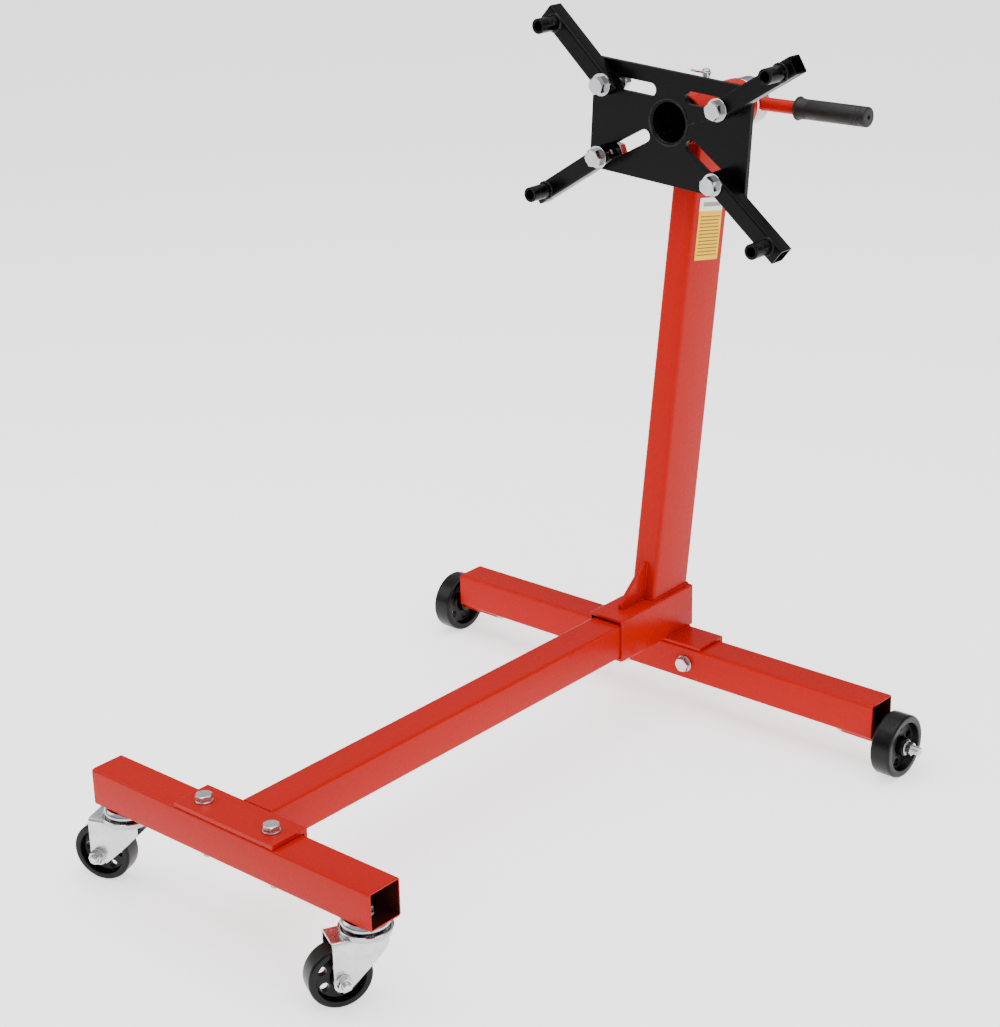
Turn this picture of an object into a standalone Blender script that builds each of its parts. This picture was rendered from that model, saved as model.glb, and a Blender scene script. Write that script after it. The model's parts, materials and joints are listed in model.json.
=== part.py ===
"""Engine stand: a T-shaped base of square tube on two swivel casters and two fixed wheels, a leaning post, and a rotating head plate with four adjustable arms."""

import math

import bmesh
import bpy
from mathutils import Matrix, Vector

# All lengths below are in millimetres; the model itself is in metres.
# +X runs along the crossbars, the main leg runs towards -Y, the head plate faces -Y, +Z is up, floor at Z = 0.
MM = 0.001
Y_SHIFT = 219.45  # puts the centre of the bounding box at Y = 0
X_SHIFT = -0.0
GAP = 0.3  # left between pieces that touch or are welded

# square tube of the base
TUBE = 50.0
WALL = 2.5
TUBE_R = 4.0  # outer corner radius

# front crossbar
FC_HALF = 238.0
FC_Y = -702.0
FC_Z0 = 105.5
FC_Z1 = FC_Z0 + TUBE

# rear crossbeam
RC_HALF = 370.0
RC_Y = 129.0
RC_Z0 = 51.5
RC_Z1 = RC_Z0 + TUBE

# angle that ties the leg to the front crossbar
BR_HALF = 85.0
BR_T = 6.0
BR_DROP = 46.0
BR_TOP = FC_Z1 + GAP + BR_T
BR_Y0 = FC_Y - TUBE / 2
BR_Y1 = FC_Y + TUBE / 2 + GAP + BR_T
FRONT_BOLT_X = 58.0

# main leg
LEG_TOP = BR_TOP + 0.2
LEG_Y0 = BR_Y1 + GAP
LEG_Y1 = 158.0

# angle under the socket, laid over the rear crossbeam
SA_HALF = 86.0
SA_T = 4.8
SA_Z1 = RC_Z1 + GAP + SA_T
SA_Y0 = RC_Y - TUBE / 2
SA_Y1 = RC_Y + TUBE / 2 + GAP + 6.0
SA_DROP = 44.0
SA_BOLT_X = 60.0

# socket that holds the leg and carries the post
SO_W = 57.2
SO_SIDE = 3.2
SO_Z0 = SA_Z1 + GAP
SO_Z1 = 169.8
SO_FLOOR = LEG_TOP - TUBE - 0.4 - SO_Z0
SO_ROOF = 4.0
SO_Y0 = -0.8
SO_Y1 = 165.3

# post
POST_W = 40.0
POST_D = 80.0
POST_T = 3.0
POST_LEAN = math.atan(0.164)
POST_Y0 = 82.4  # front face at the socket's top
POST_Z0 = SO_Z1 + GAP

# gusset in front of the post
GU_LONG = 51.0
GU_T = 6.0

# head
HEAD_Z = 841.0
PLATE_Y = 141.0
PLATE_T = 8.0
PLATE_W = 260.0
PLATE_H = 154.0
PLATE_DZ = -8.5
PLATE_ROT = math.radians(4.0)  # clockwise as seen from the front
SPINDLE_R = 30.0
SPINDLE_BORE = 27.0
SPINDLE_Y1 = 331.0
SLEEVE_R = 35.0
SLEEVE_BORE = 31.0
SLEEVE_Y0 = 170.0
SLEEVE_Y1 = 300.0
COLLAR_Y0 = 303.0
COLLAR_Y1 = 331.0
COLLAR_R = 33.5
HANDLE_Y = 317.0
HANDLE_R = 9.5
HANDLE_X0 = -46.0
HANDLE_X1 = 192.0
GRIP_X0 = 89.5
GRIP_X1 = 201.5
LOCK_Y = 226.0
LOCK_R = 5.0

# slots and arms, in the plate's own frame with the spindle at (0, 0)
SLOT_R = 9.0
SLOT_TOP = ((33.0, 38.6), (103.0, 38.6))
SLOT_LOW = ((39.0, -25.7), (103.6, -65.8))
BOLT_TOP = (95.6, 38.6)
BOLT_LOW = (96.0, -61.08)
ARM = 25.0
ARM_WALL = 2.5
ARM_LONG = 111.0  # bolt to bushing
ARM_TAIL = 21.0
ARM_TIP = 21.0
BUSH_R = 10.5
BUSH_BORE = 6.75
BUSH_LONG = 35.0
ARM_Y1 = PLATE_Y - GAP
ARM_Y0 = ARM_Y1 - ARM
ARM_ANGLES = {"tl": 137.4, "tr": 31.0, "bl": 212.1, "br": -39.4}

# wheels
CW_R = 38.6
CW_W = 27.5
RW_R = 43.8
RW_W = 29.3
CASTER_X = 205.5
TRAIL = 35.8
CASTER_ANGLES = {"left": 199.9, "right": 242.5}
RW_IN = RC_HALF + 9.6
AXLE_IN = 312.0


def clear_scene():
    for obj in list(bpy.data.objects):
        bpy.data.objects.remove(obj, do_unlink=True)


def material(name, colour, metallic, roughness):
    mat = bpy.data.materials.get(name) or bpy.data.materials.new(name)
    mat.use_nodes = True
    shader = mat.node_tree.nodes["Principled BSDF"]
    shader.inputs["Base Color"].default_value = (*colour, 1.0)
    shader.inputs["Metallic"].default_value = metallic
    shader.inputs["Roughness"].default_value = roughness
    return mat


def finish(bm, name, smooth=False):
    """Turns a bmesh in millimetres into a plain object in metres."""
    bmesh.ops.recalc_face_normals(bm, faces=bm.faces)
    mesh = bpy.data.meshes.new(name)
    bm.to_mesh(mesh)
    bm.free()
    mesh.transform(Matrix.Scale(MM, 4))
    obj = bpy.data.objects.new(name, mesh)
    bpy.context.scene.collection.objects.link(obj)
    if smooth:
        for polygon in mesh.polygons:
            polygon.use_smooth = True
    return obj


def box(name, x0, x1, y0, y1, z0, z1):
    bm = bmesh.new()
    v = [bm.verts.new((x, y, z)) for x in (x0, x1) for y in (y0, y1) for z in (z0, z1)]
    for f in ((0, 1, 3, 2), (4, 6, 7, 5), (0, 4, 5, 1), (2, 3, 7, 6), (0, 2, 6, 4), (1, 5, 7, 3)):
        bm.faces.new([v[i] for i in f])
    return finish(bm, name)


def rounded(w, h, r, n=3):
    """Corners of a rounded rectangle centred on the origin, anticlockwise."""
    points = []
    for cx, cy, start in ((w / 2 - r, h / 2 - r, 0), (-w / 2 + r, h / 2 - r, 90), (-w / 2 + r, -h / 2 + r, 180), (w / 2 - r, -h / 2 + r, 270)):
        for i in range(n + 1):
            a = math.radians(start + 90 * i / n)
            points.append((cx + r * math.cos(a), cy + r * math.sin(a)))
    return points


def rect_tube(name, w, h, wall, r, length, place, n=3, walls=None):
    """Rounded rectangular tube along local Z from 0 to length; place is its matrix. walls gives left, right, low, high walls."""
    outer = rounded(w, h, r, n)
    if walls:
        left, right, low, high = walls
        inner_r = 1.0
        inner = [(x + (left - right) / 2, y + (low - high) / 2) for x, y in rounded(w - left - right, h - low - high, inner_r, n)]
    else:
        inner = rounded(w - 2 * wall, h - 2 * wall, max(r - wall, 0.8), n)
    bm = bmesh.new()
    rings = []
    for loop in (outer, inner):
        for z in (0.0, length):
            rings.append([bm.verts.new(place @ Vector((x, y, z))) for x, y in loop])
    o0, o1, i0, i1 = rings
    count = len(outer)
    for k in range(count):
        j = (k + 1) % count
        bm.faces.new((o0[k], o0[j], o1[j], o1[k]))
        bm.faces.new((i0[j], i0[k], i1[k], i1[j]))
        bm.faces.new((o0[j], o0[k], i0[k], i0[j]))
        bm.faces.new((o1[k], o1[j], i1[j], i1[k]))
    return finish(bm, name)


def along(axis, origin):
    """Matrix that takes local Z to the given axis, at the given origin."""
    z = Vector(axis).normalized()
    up = Vector((0, 0, 1)) if abs(z.z) < 0.9 else Vector((0, 1, 0))
    x = up.cross(z).normalized()
    y = z.cross(x)
    return Matrix(((x.x, y.x, z.x, origin[0]), (x.y, y.y, z.y, origin[1]), (x.z, y.z, z.z, origin[2]), (0, 0, 0, 1)))


def lathe(name, profile, place, n=24, start=0.0, smooth=True):
    """Closed body of revolution about local Z. profile is a closed loop of (radius, height); radius 0 points make a solid one."""
    bm = bmesh.new()
    rings = []
    for r, z in profile:
        if r < 1e-6:
            rings.append([bm.verts.new(place @ Vector((0, 0, z)))])
        else:
            rings.append(
                [bm.verts.new(place @ Vector((r * math.cos(start + 2 * math.pi * k / n), r * math.sin(start + 2 * math.pi * k / n), z))) for k in range(n)]
            )
    solid = any(len(ring) == 1 for ring in rings)
    pairs = list(zip(rings, rings[1:])) + ([] if solid else [(rings[-1], rings[0])])
    for a, b in pairs:
        for k in range(n):
            j = (k + 1) % n
            if len(a) == 1 and len(b) == 1:
                continue
            if len(a) == 1:
                bm.faces.new((a[0], b[k], b[j]))
            elif len(b) == 1:
                bm.faces.new((a[k], b[0], a[j]))
            else:
                bm.faces.new((a[k], b[k], b[j], a[j]))
    return finish(bm, name, smooth)


def rod(name, r, z0, z1, place, n=16, start=0.0, chamfer=0.0):
    if chamfer:
        profile = [(0, z0), (r - chamfer, z0), (r, z0 + chamfer), (r, z1 - chamfer), (r - chamfer, z1), (0, z1)]
    else:
        profile = [(0, z0), (r, z0), (r, z1), (0, z1)]
    return lathe(name, profile, place, n, start)


def pipe(name, r, bore, z0, z1, place, n=24):
    return lathe(name, [(r, z0), (r, z1), (bore, z1), (bore, z0)], place, n)


def prism(name, points, place, depth):
    """Extrudes a simple closed outline in local XY by depth along local Z."""
    bm = bmesh.new()
    a = [bm.verts.new(place @ Vector((x, y, 0.0))) for x, y in points]
    b = [bm.verts.new(place @ Vector((x, y, depth))) for x, y in points]
    bm.faces.new(a[::-1])
    bm.faces.new(b)
    for k in range(len(points)):
        j = (k + 1) % len(points)
        bm.faces.new((a[k], a[j], b[j], b[k]))
    return finish(bm, name)


def combine(obj, operation, *others):
    """Applies exact Booleans to obj and removes the helpers."""
    for other in others:
        other.hide_render = True
        other.display_type = "WIRE"
        mod = obj.modifiers.new("cut", "BOOLEAN")
        mod.operation = operation
        mod.solver = "EXACT"
        mod.object = other
    bpy.context.view_layer.update()
    graph = bpy.context.evaluated_depsgraph_get()
    mesh = bpy.data.meshes.new_from_object(obj.evaluated_get(graph))
    obj.modifiers.clear()
    old = obj.data
    obj.data = mesh
    bpy.data.meshes.remove(old)
    mesh.name = obj.name
    for other in others:
        bpy.data.objects.remove(other, do_unlink=True)
    return obj


def cut(obj, *others):
    return combine(obj, "DIFFERENCE", *others)


def join(obj, *others):
    return combine(obj, "UNION", *others)


def circle_12(r, z):
    return [(r * math.cos(math.radians(30 * k)), r * math.sin(math.radians(30 * k)), z) for k in range(12)]


def hexagon_12(flats, z):
    """A hexagon's corners and the middles of its sides."""
    return [(flats / 2 * (1.0 if k % 2 else 2 / math.sqrt(3)) * math.cos(math.radians(30 * k)), flats / 2 * (1.0 if k % 2 else 2 / math.sqrt(3)) * math.sin(math.radians(30 * k)), z) for k in range(12)]


def stacked(name, loops, place, open_ends):
    """Skins a list of 12-point loops in order. With open_ends it closes on itself as a ring, otherwise its two ends are capped."""
    bm = bmesh.new()
    rings = [[bm.verts.new(place @ Vector(p)) for p in loop] for loop in loops]
    pairs = list(zip(rings, rings[1:]))
    if open_ends:
        pairs.append((rings[-1], rings[0]))
    else:
        bm.faces.new(rings[0][::-1])
        bm.faces.new(rings[-1])
    for a, b in pairs:
        for k in range(12):
            j = (k + 1) % 12
            bm.faces.new((a[k], a[j], b[j], b[k]))
    return finish(bm, name)


def hex_bolt(name, r, head_flats, head_h, length, washer_r, washer_t, place, turn=0.0):
    """Hex head on its washer above local Z = 0, shank down to -length."""
    place = place @ Matrix.Rotation(math.radians(turn), 4, "Z")
    top = washer_t + head_h
    loops = [
        circle_12(r - 0.8, -length),
        circle_12(r, -length + 0.8),
        circle_12(r, 0.0),
        circle_12(washer_r, 0.0),
        circle_12(washer_r, washer_t),
        hexagon_12(head_flats, washer_t),
        hexagon_12(head_flats, top - 0.9),
        circle_12(head_flats * 0.47, top),
    ]
    return stacked(name, loops, place, False)


def hex_nut(name, bore, flats, height, washer_r, washer_t, place, turn=0.0):
    """Nut on its washer, seated at local Z = 0, going up."""
    place = place @ Matrix.Rotation(math.radians(turn), 4, "Z")
    top = washer_t + height
    loops = [
        circle_12(bore, 0.0),
        circle_12(washer_r, 0.0),
        circle_12(washer_r, washer_t),
        hexagon_12(flats, washer_t),
        hexagon_12(flats, top - 0.9),
        circle_12(flats * 0.47, top),
        circle_12(bore, top),
    ]
    return stacked(name, loops, place, True)


def slot_cutter(name, p, q, r, y0, y1, to_world):
    """Stadium prism along Y between two points given in the plate's frame."""
    direction = math.atan2(q[1] - p[1], q[0] - p[0])
    points = []
    n = 8
    for centre, start in ((q, direction - math.pi / 2), (p, direction + math.pi / 2)):
        for k in range(n + 1):
            a = start + math.pi * k / n
            points.append((centre[0] + r * math.cos(a), centre[1] + r * math.sin(a)))
    bm = bmesh.new()
    a = [bm.verts.new(to_world(x, y0, z)) for x, z in points]
    b = [bm.verts.new(to_world(x, y1, z)) for x, z in points]
    bm.faces.new(a)
    bm.faces.new(b[::-1])
    for k in range(len(points)):
        j = (k + 1) % len(points)
        bm.faces.new((a[j], a[k], b[k], b[j]))
    return finish(bm, name)


def plate_to_world(x, y, z):
    """Point in the head plate's frame, spindle on the axis, turned to its resting angle."""
    c, s = math.cos(PLATE_ROT), math.sin(PLATE_ROT)
    return Vector((x * c + z * s, y, HEAD_Z - x * s + z * c))


RED = material("red_powder_coat", (0.62, 0.03, 0.02), 0.0, 0.25)
BLACK = material("black_paint", (0.02, 0.02, 0.02), 0.0, 0.35)
ZINC = material("zinc_plate", (0.62, 0.63, 0.65), 1.0, 0.32)
WHEEL = material("black_wheel", (0.025, 0.025, 0.025), 0.0, 0.5)
RUBBER = material("grip_rubber", (0.03, 0.03, 0.03), 0.0, 0.7)
LABEL = material("label_yellow", (0.85, 0.68, 0.12), 0.0, 0.45)

nodes = []


def keep(obj, mat):
    obj.data.materials.clear()
    obj.data.materials.append(mat)
    obj.data.transform(Matrix.Translation((X_SHIFT * MM, Y_SHIFT * MM, 0)))
    nodes.append(obj)
    return obj


clear_scene()
X, Y, Z = Vector((1, 0, 0)), Vector((0, 1, 0)), Vector((0, 0, 1))


# ---------------------------------------------------------------- base frame
def x_tube(name, half, y, z0):
    return rect_tube(name, TUBE, TUBE, WALL, TUBE_R, 2 * half, along(X, (-half, y, z0 + TUBE / 2)))


crossbar = x_tube("front_crossbar", FC_HALF, FC_Y, FC_Z0)
holes = [rod(f"h{k}", 6.6, FC_Z0 - 5, FC_Z1 + 5, along(Z, (x, FC_Y, 0)), 12) for k, x in enumerate((-FRONT_BOLT_X, FRONT_BOLT_X))]
holes += [rod(f"c{k}", 6.6, FC_Z0 - 5, FC_Z0 + WALL + 3, along(Z, (x, FC_Y, 0)), 12) for k, x in enumerate((-CASTER_X, CASTER_X))]
keep(cut(crossbar, *holes), RED)

crossbeam = x_tube("rear_crossbeam", RC_HALF, RC_Y, RC_Z0)
holes = [rod(f"h{k}", 6.6, RC_Y - 40, RC_Y + 40, along(Y, (x, 0, RC_Z0 + 25)), 12) for k, x in enumerate((-SA_BOLT_X, SA_BOLT_X))]
keep(cut(crossbeam, *holes), RED)

leg = rect_tube("main_leg", TUBE, TUBE, WALL, TUBE_R, LEG_Y1 - LEG_Y0, along(Y, (0, LEG_Y0, LEG_TOP - TUBE / 2)))
keep(leg, RED)

profile = [(BR_Y0, FC_Z1 + GAP), (BR_Y1 - BR_T, FC_Z1 + GAP), (BR_Y1 - BR_T, BR_TOP - BR_DROP), (BR_Y1, BR_TOP - BR_DROP), (BR_Y1, BR_TOP), (BR_Y0, BR_TOP)]
turn = Matrix(((0, 0, 1, -BR_HALF), (1, 0, 0, 0), (0, 1, 0, 0), (0, 0, 0, 1)))
bracket = prism("leg_front_bracket", profile, turn, 2 * BR_HALF)
holes = [rod(f"h{k}", 6.6, BR_TOP - 12, BR_TOP + 5, along(Z, (x, FC_Y, 0)), 12) for k, x in enumerate((-FRONT_BOLT_X, FRONT_BOLT_X))]
keep(cut(bracket, *holes), RED)

for side, s in (("left", -1), ("right", 1)):
    keep(
        hex_bolt(f"front_bolt_{side}", 6.0, 19.0, 7.5, BR_TOP - FC_Z0 + 19.0, 11.0, 1.2, along(Z, (s * FRONT_BOLT_X, FC_Y, BR_TOP + GAP)), 11.0 + 7 * s),
        ZINC,
    )
    keep(hex_nut(f"front_nut_{side}", 6.3, 19.0, 10.0, 11.5, 2.0, along(-Z, (s * FRONT_BOLT_X, FC_Y, FC_Z0 - GAP)), 24.0), ZINC)

profile = [(SA_Y0, RC_Z1 + GAP), (SA_Y1 - 6.0, RC_Z1 + GAP), (SA_Y1 - 6.0, SA_Z1 - SA_DROP), (SA_Y1, SA_Z1 - SA_DROP), (SA_Y1, SA_Z1), (SA_Y0, SA_Z1)]
turn = Matrix(((0, 0, 1, -SA_HALF), (1, 0, 0, 0), (0, 1, 0, 0), (0, 0, 0, 1)))
saddle = prism("saddle_angle", profile, turn, 2 * SA_HALF)
holes = [rod(f"h{k}", 6.6, SA_Y1 - 12, SA_Y1 + 5, along(Y, (x, 0, RC_Z0 + 25)), 12) for k, x in enumerate((-SA_BOLT_X, SA_BOLT_X))]
keep(cut(saddle, *holes), RED)

for side, s in (("left", -1), ("right", 1)):
    keep(
        hex_bolt(f"saddle_bolt_{side}", 6.0, 19.0, 7.5, SA_Y1 - SA_Y0 + 17.0, 12.0, 2.0, along(-Y, (s * SA_BOLT_X, SA_Y0 - GAP, RC_Z0 + 25)), 8.0),
        ZINC,
    )
    keep(hex_nut(f"saddle_nut_{side}", 6.3, 19.0, 10.0, 12.0, 2.0, along(Y, (s * SA_BOLT_X, SA_Y1 + GAP, RC_Z0 + 25)), 15.0), ZINC)

socket = rect_tube(
    "base_socket",
    SO_W,
    SO_Z1 - SO_Z0,
    SO_SIDE,
    2.0,
    SO_Y1 - SO_Y0,
    along(Y, (0, SO_Y0, (SO_Z0 + SO_Z1) / 2)),
    n=2,
    walls=(SO_SIDE - 0.1, SO_SIDE - 0.1, SO_FLOOR, SO_ROOF),
)
keep(cut(socket, rod("h", 5.3, SO_Z0 - 5, SO_Z0 + 9, along(Z, (0, 42.0, 0)), 14)), RED)

clamp = hex_bolt("leg_clamp_bolt", 5.0, 17.0, 6.5, LEG_TOP - TUBE - 0.4 - (SO_Z0 - GAP - 10.3), 9.0, 0.9, along(-Z, (0, 42.0, SO_Z0 - GAP - 10.3)), 10.0)
keep(clamp, ZINC)
keep(hex_nut("leg_clamp_nut", 5.3, 17.0, 9.8, 8.0, 0.2, along(-Z, (0, 42.0, SO_Z0 - GAP)), 10.0), RED)

# ---------------------------------------------------------------- post
lean = Vector((0, math.sin(POST_LEAN), math.cos(POST_LEAN)))
section = POST_D / math.cos(POST_LEAN)
mid = Vector((0, POST_Y0 + section / 2, POST_Z0))
start = mid - lean * 40.0
zc = lean
yc = Vector((0, math.cos(POST_LEAN), -math.sin(POST_LEAN)))
place = Matrix(((1, 0, 0, start.x), (0, yc.y, zc.y, start.y), (0, yc.z, zc.z, start.z), (0, 0, 0, 1)))
post = rect_tube("upright_post", POST_W, POST_D, POST_T, 4.0, 820.0, place)
below = box("low", -60, 60, 20, 260, POST_Z0 - 90, POST_Z0)
above = box("top", -60, 60, 20, 420, HEAD_Z - 12.0, HEAD_Z + 200)
bore = rod("bore", SLEEVE_R + GAP, SLEEVE_Y0 - 80, SLEEVE_Y1 + 80, along(Y, (0, 0, HEAD_Z)), 40)
keep(cut(post, below, above, bore), RED)

slope = math.tan(POST_LEAN)
g0 = POST_Y0 - GAP - 0.3
gusset = prism(
    "post_gusset",
    [(g0 - GU_LONG, 0.0), (g0, 0.0), (g0 + slope * 52.0, 52.0), (g0 + slope * 52.0 - 5.0, 52.0), (g0 - GU_LONG, 7.0)],
    Matrix(((0, 0, 1, -GU_T / 2), (1, 0, 0, 0), (0, 1, 0, POST_Z0), (0, 0, 0, 1))),
    GU_T,
)
keep(gusset, RED)

lab_w, lab_h = 54.0, 86.0
centre = Vector((POST_W / 2 + 0.3, POST_Y0 + section / 2 + slope * (685.0 - POST_Z0), 685.0))
plane = Matrix(((0, 0, 1, centre.x), (yc.y, zc.y, 0, centre.y), (yc.z, zc.z, 0, centre.z), (0, 0, 0, 1)))
keep(prism("warning_label", rounded(lab_w, lab_h, 2.0, 2), plane, 0.5), LABEL)

# ---------------------------------------------------------------- head
BOSS_TOP = HEAD_Z + SLEEVE_R + 5.5
sleeve = pipe("head_sleeve", SLEEVE_R, SLEEVE_BORE, SLEEVE_Y0, SLEEVE_Y1, along(Y, (0, 0, HEAD_Z)), 32)
boss = rod("boss", 11.0, HEAD_Z + SLEEVE_R - 4.0, BOSS_TOP, along(Z, (0, LOCK_Y, 0)), 16)
join(sleeve, boss)
keep(cut(sleeve, rod("h", LOCK_R + 0.4, HEAD_Z + 10, HEAD_Z + 80, along(Z, (0, LOCK_Y, 0)), 12)), RED)

spindle = pipe("spindle", SPINDLE_R, SPINDLE_BORE, PLATE_Y + 0.3, SPINDLE_Y1, along(Y, (0, 0, HEAD_Z)), 32)
holes = []
for k in range(8):
    a = math.radians(90 + 45 * k)
    d = Vector((math.cos(a), 0, math.sin(a)))
    holes.append(rod(f"i{k}", LOCK_R + 0.6, 20.0, 40.0, along(d, (0, LOCK_Y, HEAD_Z)), 8))
holes.append(rod("hb", HANDLE_R + 0.4, -60, 60, along(X, (0, HANDLE_Y, HEAD_Z)), 16))
keep(cut(spindle, *holes), BLACK)

collar = lathe(
    "spindle_collar",
    [(COLLAR_R, COLLAR_Y0), (COLLAR_R, COLLAR_Y1), (SPINDLE_R + 0.3, COLLAR_Y1), (SPINDLE_R + 0.3, COLLAR_Y0)],
    along(Y, (0, 0, HEAD_Z)),
    32,
)
keep(cut(collar, rod("hb", HANDLE_R + 0.4, -60, 60, along(X, (0, HANDLE_Y, HEAD_Z)), 16)), ZINC)

to_plate = Matrix(((1, 0, 0, 0), (0, 0, -1, 0), (0, 1, 0, 0), (0, 0, 0, 1)))
outline = rounded(PLATE_W, PLATE_H, 3.0, 2)
bm = bmesh.new()
a = [bm.verts.new(plate_to_world(x, PLATE_Y, z + PLATE_DZ)) for x, z in outline]
b = [bm.verts.new(plate_to_world(x, PLATE_Y + PLATE_T, z + PLATE_DZ)) for x, z in outline]
bm.faces.new(a)
bm.faces.new(b[::-1])
for k in range(len(outline)):
    j = (k + 1) % len(outline)
    bm.faces.new((a[j], a[k], b[k], b[j]))
plate = finish(bm, "mounting_plate")
cutters = [rod("bore", SPINDLE_R + GAP, PLATE_Y - 10, PLATE_Y + 20, along(Y, (0, 0, HEAD_Z)), 32)]
for s in (-1, 1):
    for k, (p, q) in enumerate((SLOT_TOP, SLOT_LOW)):
        cutters.append(slot_cutter(f"slot{k}{s}", (s * p[0], p[1]), (s * q[0], q[1]), SLOT_R, PLATE_Y - 10, PLATE_Y + 20, plate_to_world))
keep(cut(plate, *cutters), BLACK)

keep(rod("handle_bar", HANDLE_R, HANDLE_X0, HANDLE_X1, along(X, (0, HANDLE_Y, HEAD_Z)), 16, chamfer=1.0), RED)
grip = lathe(
    "handle_grip",
    [
        (HANDLE_R + 0.3, GRIP_X0),
        (15.8, GRIP_X0),
        (16.6, GRIP_X0 + 3),
        (15.4, GRIP_X0 + 8),
        (13.8, GRIP_X0 + 13),
        (13.3, GRIP_X1 - 4),
        (12.0, GRIP_X1),
        (3.0, GRIP_X1),
        (3.0, HANDLE_X1 + GAP),
        (HANDLE_R + 0.3, HANDLE_X1 + GAP),
    ],
    along(X, (0, HANDLE_Y, HEAD_Z)),
    16,
)
keep(grip, RUBBER)

PIN_TIP = HEAD_Z + SPINDLE_R + 1.2
pin = lathe(
    "lock_pin",
    [
        (0, PIN_TIP),
        (LOCK_R - 1.2, PIN_TIP),
        (LOCK_R, PIN_TIP + 2.0),
        (LOCK_R, BOSS_TOP + 8.6),
        (5.8, BOSS_TOP + 9.1),
        (5.8, BOSS_TOP + 17.2),
        (4.6, BOSS_TOP + 18.2),
        (0, BOSS_TOP + 18.2),
    ],
    along(Z, (0, LOCK_Y, 0)),
    12,
)
ring_z = BOSS_TOP + 13.2
cross = rod("cross", 3.3, -12, 12, along(X, (0, LOCK_Y, ring_z)), 10)
keep(cut(pin, cross), ZINC)


def torus(name, centre, normal, big, small, n=20, m=6):
    place = along(normal, centre)
    profile = [(big + small * math.cos(2 * math.pi * k / m), small * math.sin(2 * math.pi * k / m)) for k in range(m)]
    return lathe(name, profile, place, n)


tilt = math.radians(14)
ring_n = Vector((0, math.sin(tilt), math.cos(tilt)))
side = Vector((0, math.cos(tilt), -math.sin(tilt)))
keep(torus("lock_ring", Vector((0, LOCK_Y, ring_z)) - side * 13.0, ring_n, 13.0, 1.6), ZINC)

# ---------------------------------------------------------------- arms and their bolts
for key, angle in ARM_ANGLES.items():
    s = -1 if key[1] == "l" else 1
    bx, bz = BOLT_TOP if key[0] == "t" else BOLT_LOW
    at = plate_to_world(s * bx, 0.0, bz)
    a = math.radians(angle)
    u = Vector((math.cos(a), 0, math.sin(a)))
    v = Vector((-math.sin(a), 0, math.cos(a)))
    base = Vector((at.x, (ARM_Y0 + ARM_Y1) / 2, at.z)) - u * ARM_TAIL
    place = Matrix(((v.x, 0, u.x, base.x), (v.y, 1, u.y, base.y), (v.z, 0, u.z, base.z), (0, 0, 0, 1)))
    arm = rect_tube(f"arm_{key}", ARM, ARM, ARM_WALL, 2.5, ARM_TAIL + ARM_LONG + ARM_TIP, place, n=2)
    # mitred inner end
    m = 1 if key in ("tl", "br") else -1
    far = base - u * 40.0
    wedge = prism(
        "mitre",
        [(-20.0, 0.0), (20.0, 0.0), (20.0, 40.0 + 6.0 * (1 + m)), (-20.0, 40.0 + 6.0 * (1 - m))],
        Matrix(((v.x, u.x, 0, far.x), (0, 0, 1, ARM_Y0 - 5), (v.z, u.z, 0, far.z), (0, 0, 0, 1))),
        ARM + 10,
    )
    tip = Vector((at.x, 0, at.z)) + u * ARM_LONG
    bolt_hole = rod("bh", 8.4, ARM_Y0 - 5, ARM_Y1 + 5, along(Y, (at.x, 0, at.z)), 12)
    cut(arm, wedge, bolt_hole)
    bush = rod("bush", BUSH_R, ARM_Y0 - BUSH_LONG, ARM_Y0 + 1.2, along(Y, (tip.x, 0, tip.z)), 16)
    join(arm, bush)
    keep(cut(arm, rod("bb", BUSH_BORE, ARM_Y0 - BUSH_LONG - 5, ARM_Y0 + 6, along(Y, (tip.x, 0, tip.z)), 12)), BLACK)
    keep(
        hex_bolt(f"arm_bolt_{key}", 8.0, 24.0, 11.5, PLATE_Y + PLATE_T - ARM_Y0 + 19.0, 15.0, 3.2, along(-Y, (at.x, ARM_Y0 - GAP, at.z)), angle),
        ZINC,
    )
    keep(hex_nut(f"arm_nut_{key}", 8.4, 24.0, 13.0, 15.0, 2.6, along(Y, (at.x, PLATE_Y + PLATE_T + GAP, at.z)), 10.0), ZINC)


# ---------------------------------------------------------------- wheels
def wheel(name, r, w, hub_w, bore, hole_ring, hole_r, turn, axis, centre):
    """Cast wheel with six holes in its web. It stands on the middle of a facet."""
    sides = 28
    hw, hh = w / 2, hub_w / 2
    rin = r * 0.74
    r = r / math.cos(math.pi / sides)
    half = [
        (bore, hh),
        (bore + 5.5, hh),
        (bore + 7.0, 4.0),
        (rin, 4.0),
        (rin + 1.2, hw - 1.0),
        (r - 3.2, hw),
        (r, hw - 4.0),
    ]
    profile = half + [(a, -b) for a, b in reversed(half)]
    place = along(axis, centre)
    obj = lathe(name, profile, place, sides, math.pi / sides)
    holes = []
    for k in range(6):
        a = math.radians(turn + 60 * k)
        spot = place @ Vector((hole_ring * math.cos(a), hole_ring * math.sin(a), 0))
        holes.append(rod(f"w{k}", hole_r, -9, 9, along(axis, spot), 8))
    return cut(obj, *holes)


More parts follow.
